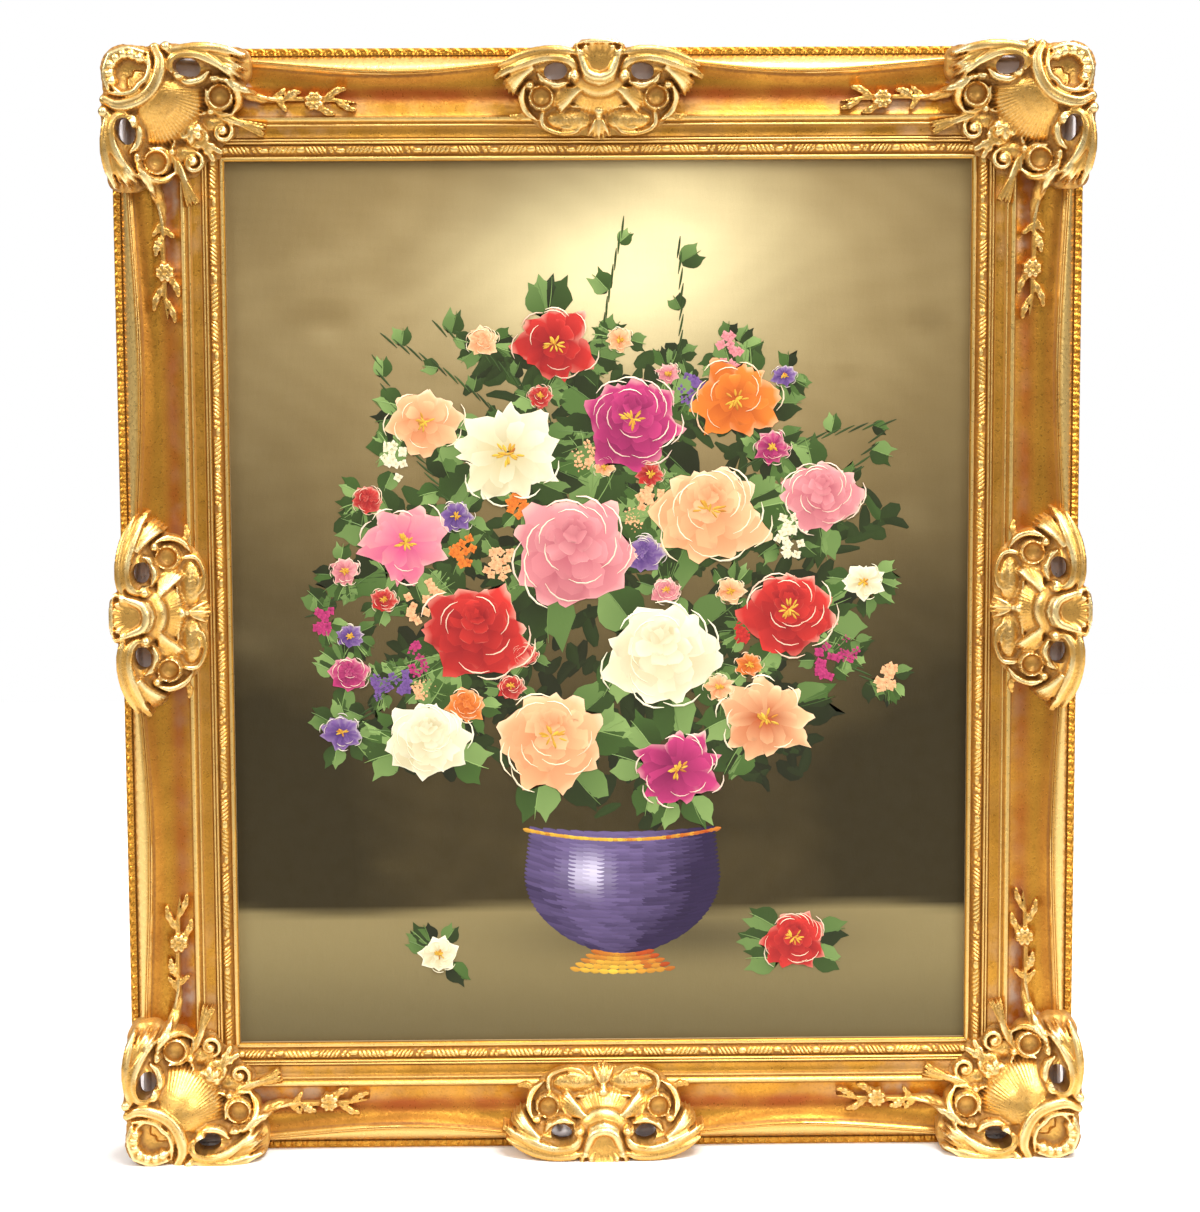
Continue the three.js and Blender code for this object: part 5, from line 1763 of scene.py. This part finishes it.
                s.stroke(x + r * math.cos(w),
                         y + 0.09 * size * (flower.kind is Bloom.ROSE) + 0.8 * r * math.sin(w), w,
                         0.1 * size + 1.6, 0.045 * size + 0.8,
                         s.mixed(Palette.ORANGE_DARK, Palette.HEART, s.rng.uniform(0.4, 1)),
                         0, 0.6)

    def flowers(self, rng: np.random.Generator) -> list[Flower]:
        """Set out the bouquet: large flowers first, small ones between them."""
        p, b = Palette, Bloom
        large = [
            (b.ROSE, -18, 36, 40, p.PINK, p.PINK_DARK), (b.ROSE, 74, 62, 35, p.PEACH, p.PEACH_DARK),
            (b.ROSE, 42, -34, 37, p.CREAM, p.CREAM_DARK), (b.ROSE, -84, -18, 34, p.RED, p.RED_DARK),
            (b.DAISY, -62, 104, 34, p.CREAM, p.CREAM_DARK), (b.ROSE, 22, 124, 31, p.MAGENTA, p.MAGENTA_DARK),
            (b.ROSE, 128, -6, 30, p.RED, p.RED_DARK), (b.DAISY, 112, -78, 29, p.PEACH, p.ORANGE_DARK),
            (b.ROSE, -34, -92, 34, p.PEACH, p.PEACH_DARK), (b.DAISY, -132, 44, 28, p.PINK, p.MAGENTA),
            (b.ROSE, -118, -92, 28, p.CREAM, p.CREAM_DARK), (b.CUP, 92, 140, 27, p.ORANGE, p.ORANGE_DARK),
            (b.CUP, -30, 178, 26, p.RED, p.RED_DARK), (b.DAISY, 52, -112, 27, p.MAGENTA, p.MAGENTA_DARK),
            (b.ROSE, 150, 74, 25, p.PINK, p.PINK_DARK), (b.CUP, -118, 126, 24, p.PEACH, p.PEACH_DARK),
            (b.ROSE, 132, -232, 21, p.RED, p.RED_DARK), (b.CUP, -112, -240, 13, p.CREAM, p.CREAM_DARK),
        ]
        found = [Flower(kind, x, y, self.bloom_growth * size, light, dark)
                 for kind, x, y, size, light, dark in large]
        pairs = ((p.CREAM, p.CREAM_DARK), (p.PINK, p.PINK_DARK), (p.ORANGE, p.ORANGE_DARK),
                 (p.VIOLET, p.VIOLET_DARK),
                 (p.RED, p.RED_DARK), (p.PEACH, p.PEACH_DARK), (p.MAGENTA, p.MAGENTA_DARK))
        while len(found) < self.blooms:
            w, r = rng.uniform(-0.5, math.pi + 0.5), rng.uniform(0.25, 1.28)
            x, y = 6 + 166 * r * math.cos(w), 158 * r * math.sin(w) - 30 * (r < 0.9)
            size = rng.uniform(8, 16)
            if min(math.hypot(x - f.x, y - f.y) - 0.72 * (f.size + size) for f in found) < 0 or y < -150:
                continue
            light, dark = pairs[rng.integers(len(pairs))]
            kind = (b.DAISY, b.SPRIG, b.ROSE, b.SPRIG)[rng.integers(4)]
            found.append(Flower(kind, x, y, size, light, dark))
        return found

    def build(self) -> None:
        """Stretch the cloth and lay on the paint."""
        cloth = self.cloth()
        strokes = Strokes(self.picture.canvas_front + 0.02, self.seed)
        self.paint_bowl(strokes)
        self.paint_foliage(strokes)
        flowers = self.flowers(strokes.rng)
        for flower in sorted(flowers, key=lambda f: f.size):
            self.leaves_around(strokes, flower, 5)
        for flower in sorted(flowers, key=lambda f: f.size):
            self.paint_flower(strokes, flower)
        layer = strokes.build("paint_strokes", self.picture)
        soften(layer, 75)
        log.info("painting: %d strokes", len(strokes.colours))
        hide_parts("canvas")
        for piece in (cloth, layer):
            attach(piece, "root")
        cloth.data.materials.append(Paint("painted_ground", 0.3, 0.5).material())
        layer.data.materials.append(Paint("painted_strokes", 0.12, 0.36).material())


@dataclass(frozen=True)
class Camera:
    """The camera in the picture's axes, in millimetres."""

    place: Triple = (-34.79, 272.54, 2182.78)
    right: Triple = (0.99985754, -0.00450314, 0.01626718)
    up: Triple = (0.00647599, 0.99234328, -0.12334051)
    back: Triple = (-0.01558721, 0.12342828, 0.99223107)
    lens: float = 96.53
    sensor: float = 36.0

    def build(self, picture: Picture) -> None:
        """Set the scene's camera."""
        data = bpy.data.cameras.new("view")
        data.lens, data.sensor_width = self.lens, self.sensor
        camera = bpy.data.objects.new("view", data)
        bpy.context.scene.collection.objects.link(camera)
        columns = [Vector((v[0], -v[2], v[1])) for v in (self.right, self.up, self.back)]
        turn = Matrix(columns).transposed().to_4x4()
        place = picture.place(np.array(self.place))
        camera.matrix_world = Matrix.Translation(Vector(place.tolist())) @ turn
        bpy.context.scene.camera = camera


@dataclass(frozen=True)
class Lamp:
    """One square soft light: its place, what it faces, its width and its power."""

    name: str
    place: Triple
    aim: Triple
    size: float
    power: float

    def hang(self) -> None:
        """Add the light to the scene."""
        bpy.ops.object.light_add(type="AREA", location=self.place)
        lamp = bpy.context.object
        lamp.name = self.name
        lamp.data.size, lamp.data.energy = self.size, self.power
        lamp.rotation_euler = (Vector(self.aim) - Vector(self.place)).to_track_quat("-Z", "Y").to_euler()


@dataclass(frozen=True)
class Studio:
    """A plain pale floor in a white studio, lit softly from above."""

    floor_size: float = 8.0
    floor_shift: float = -2.0
    sky_heights: Pair = (-0.3, 0.9)
    sky_strengths: Pair = (0.04, 1.0)
    lamps: tuple[Lamp, ...] = (
        Lamp("above", (0.45, -0.75, 1.3), (0, 0.05, -0.4), 1.1, 41),
        Lamp("left", (-1.7, -1.0, 0.8), (0, 0, -0.35), 0.7, 19),
        Lamp("right", (1.8, -1.2, 0.5), (0, 0, -0.35), 0.7, 15),
        Lamp("front", (0, -3.4, 0.9), (0, 0, -0.4), 1.0, 14),
        Lamp("back", (0.9, 2.4, 1.5), (0, 0, -0.3), 1.2, 60),
    )

    def build(self, floor: float) -> None:
        """Lay the floor and hang the lights."""
        deselect_all()
        bpy.ops.mesh.primitive_plane_add(size=self.floor_size, location=(0, self.floor_shift, floor))
        ground = bpy.context.object
        ground.name = "floor"
        ground.data.materials.append(Receding("pale_floor", -self.floor_shift).material())
        bpy.context.scene.view_settings.view_transform = "Standard"
        for lamp in self.lamps:
            lamp.hang()
        self.sky()

    def sky(self) -> None:
        """Light the room from above and dimly from below, against plain white."""
        world = bpy.data.worlds.new("sky")
        world.use_nodes = True
        nodes, links = world.node_tree.nodes, world.node_tree.links
        coordinates, split = nodes.new("ShaderNodeTexCoord"), nodes.new("ShaderNodeSeparateXYZ")
        ramp, rays = nodes.new("ShaderNodeMapRange"), nodes.new("ShaderNodeLightPath")
        names = ("From Min", "From Max", "To Min", "To Max")
        for name, number in zip(names, self.sky_heights + self.sky_strengths):
            ramp.inputs[name].default_value = number
        links.new(coordinates.outputs["Generated"], split.inputs[0])
        links.new(split.outputs["Z"], ramp.inputs["Value"])
        seen = nodes.new("ShaderNodeMath")
        seen.operation = "MAXIMUM"
        links.new(ramp.outputs["Result"], seen.inputs[0])
        links.new(rays.outputs["Is Camera Ray"], seen.inputs[1])
        links.new(seen.outputs["Value"], nodes["Background"].inputs["Strength"])
        nodes["Background"].inputs["Color"].default_value = (1.0, 1.0, 1.0, 1)
        bpy.context.scene.world = world


class FramedPainting:
    """The whole object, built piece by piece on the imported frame."""

    def __init__(self) -> None:
        """Work out the shared sizes."""
        self.picture = Picture.from_frame()
        self.profile = RailProfile(self.picture.rail_width, self.picture.rail_depth)
        log.info("picture: %s", self.picture)

    def build_rails(self) -> dict[bool, HeightTable]:
        """Build the four rails and return their faces' heights for the castings."""
        gilding = Gilding("gilt_rail").material()
        tables = {}
        for side in Side:
            rail = Rail(self.picture, self.profile, side)
            piece = rail.build()
            piece.data.materials.clear()
            piece.data.materials.append(gilding)
            tables[side.upright] = self.profile.table(*rail.sweeps[side.upright])
            log.info("%s: %d faces", piece.name, len(piece.data.polygons))
        return tables

    def build_castings(self, tables: dict[bool, HeightTable]) -> None:
        """Build the corner and centre ornaments."""
        gilding = Gilding("gilt_casting", leaf=Tint.screen(230, 178, 92), rubbed_and_highlight=Tint.screen(255, 236, 176),
                          toned_and_shade=Tint.screen(130, 82, 28), sink=(0.2, 2.4), shade_and_toning_strength=0.72,
                          roughness=0.3).material()
        for design in (CornerCasting, CentreCasting):
            for piece in design(self.picture, self.profile).build(tables):
                piece.data.materials.append(gilding)

    def dress_bars(self) -> None:
        """Give the stretcher bars their wood."""
        for side in Side:
            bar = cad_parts[f"stretcher_{side.name.lower()}"]
            bar.data.materials.clear()
            bar.data.materials.append(Pine(f"pine_{side.name.lower()}", side.upright).material())

    def build(self) -> None:
        """Build everything."""
        tables = self.build_rails()
        self.build_castings(tables)
        Painting(self.picture).build()
        self.dress_bars()


def main() -> None:
    """Build the object, the studio and the camera."""
    logging.basicConfig(level=logging.INFO)
    painting = FramedPainting()
    painting.build()
    Studio().build(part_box("rail_bottom")[0].z)
    Camera().build(painting.picture)


if __name__ == "__main__":
    main()
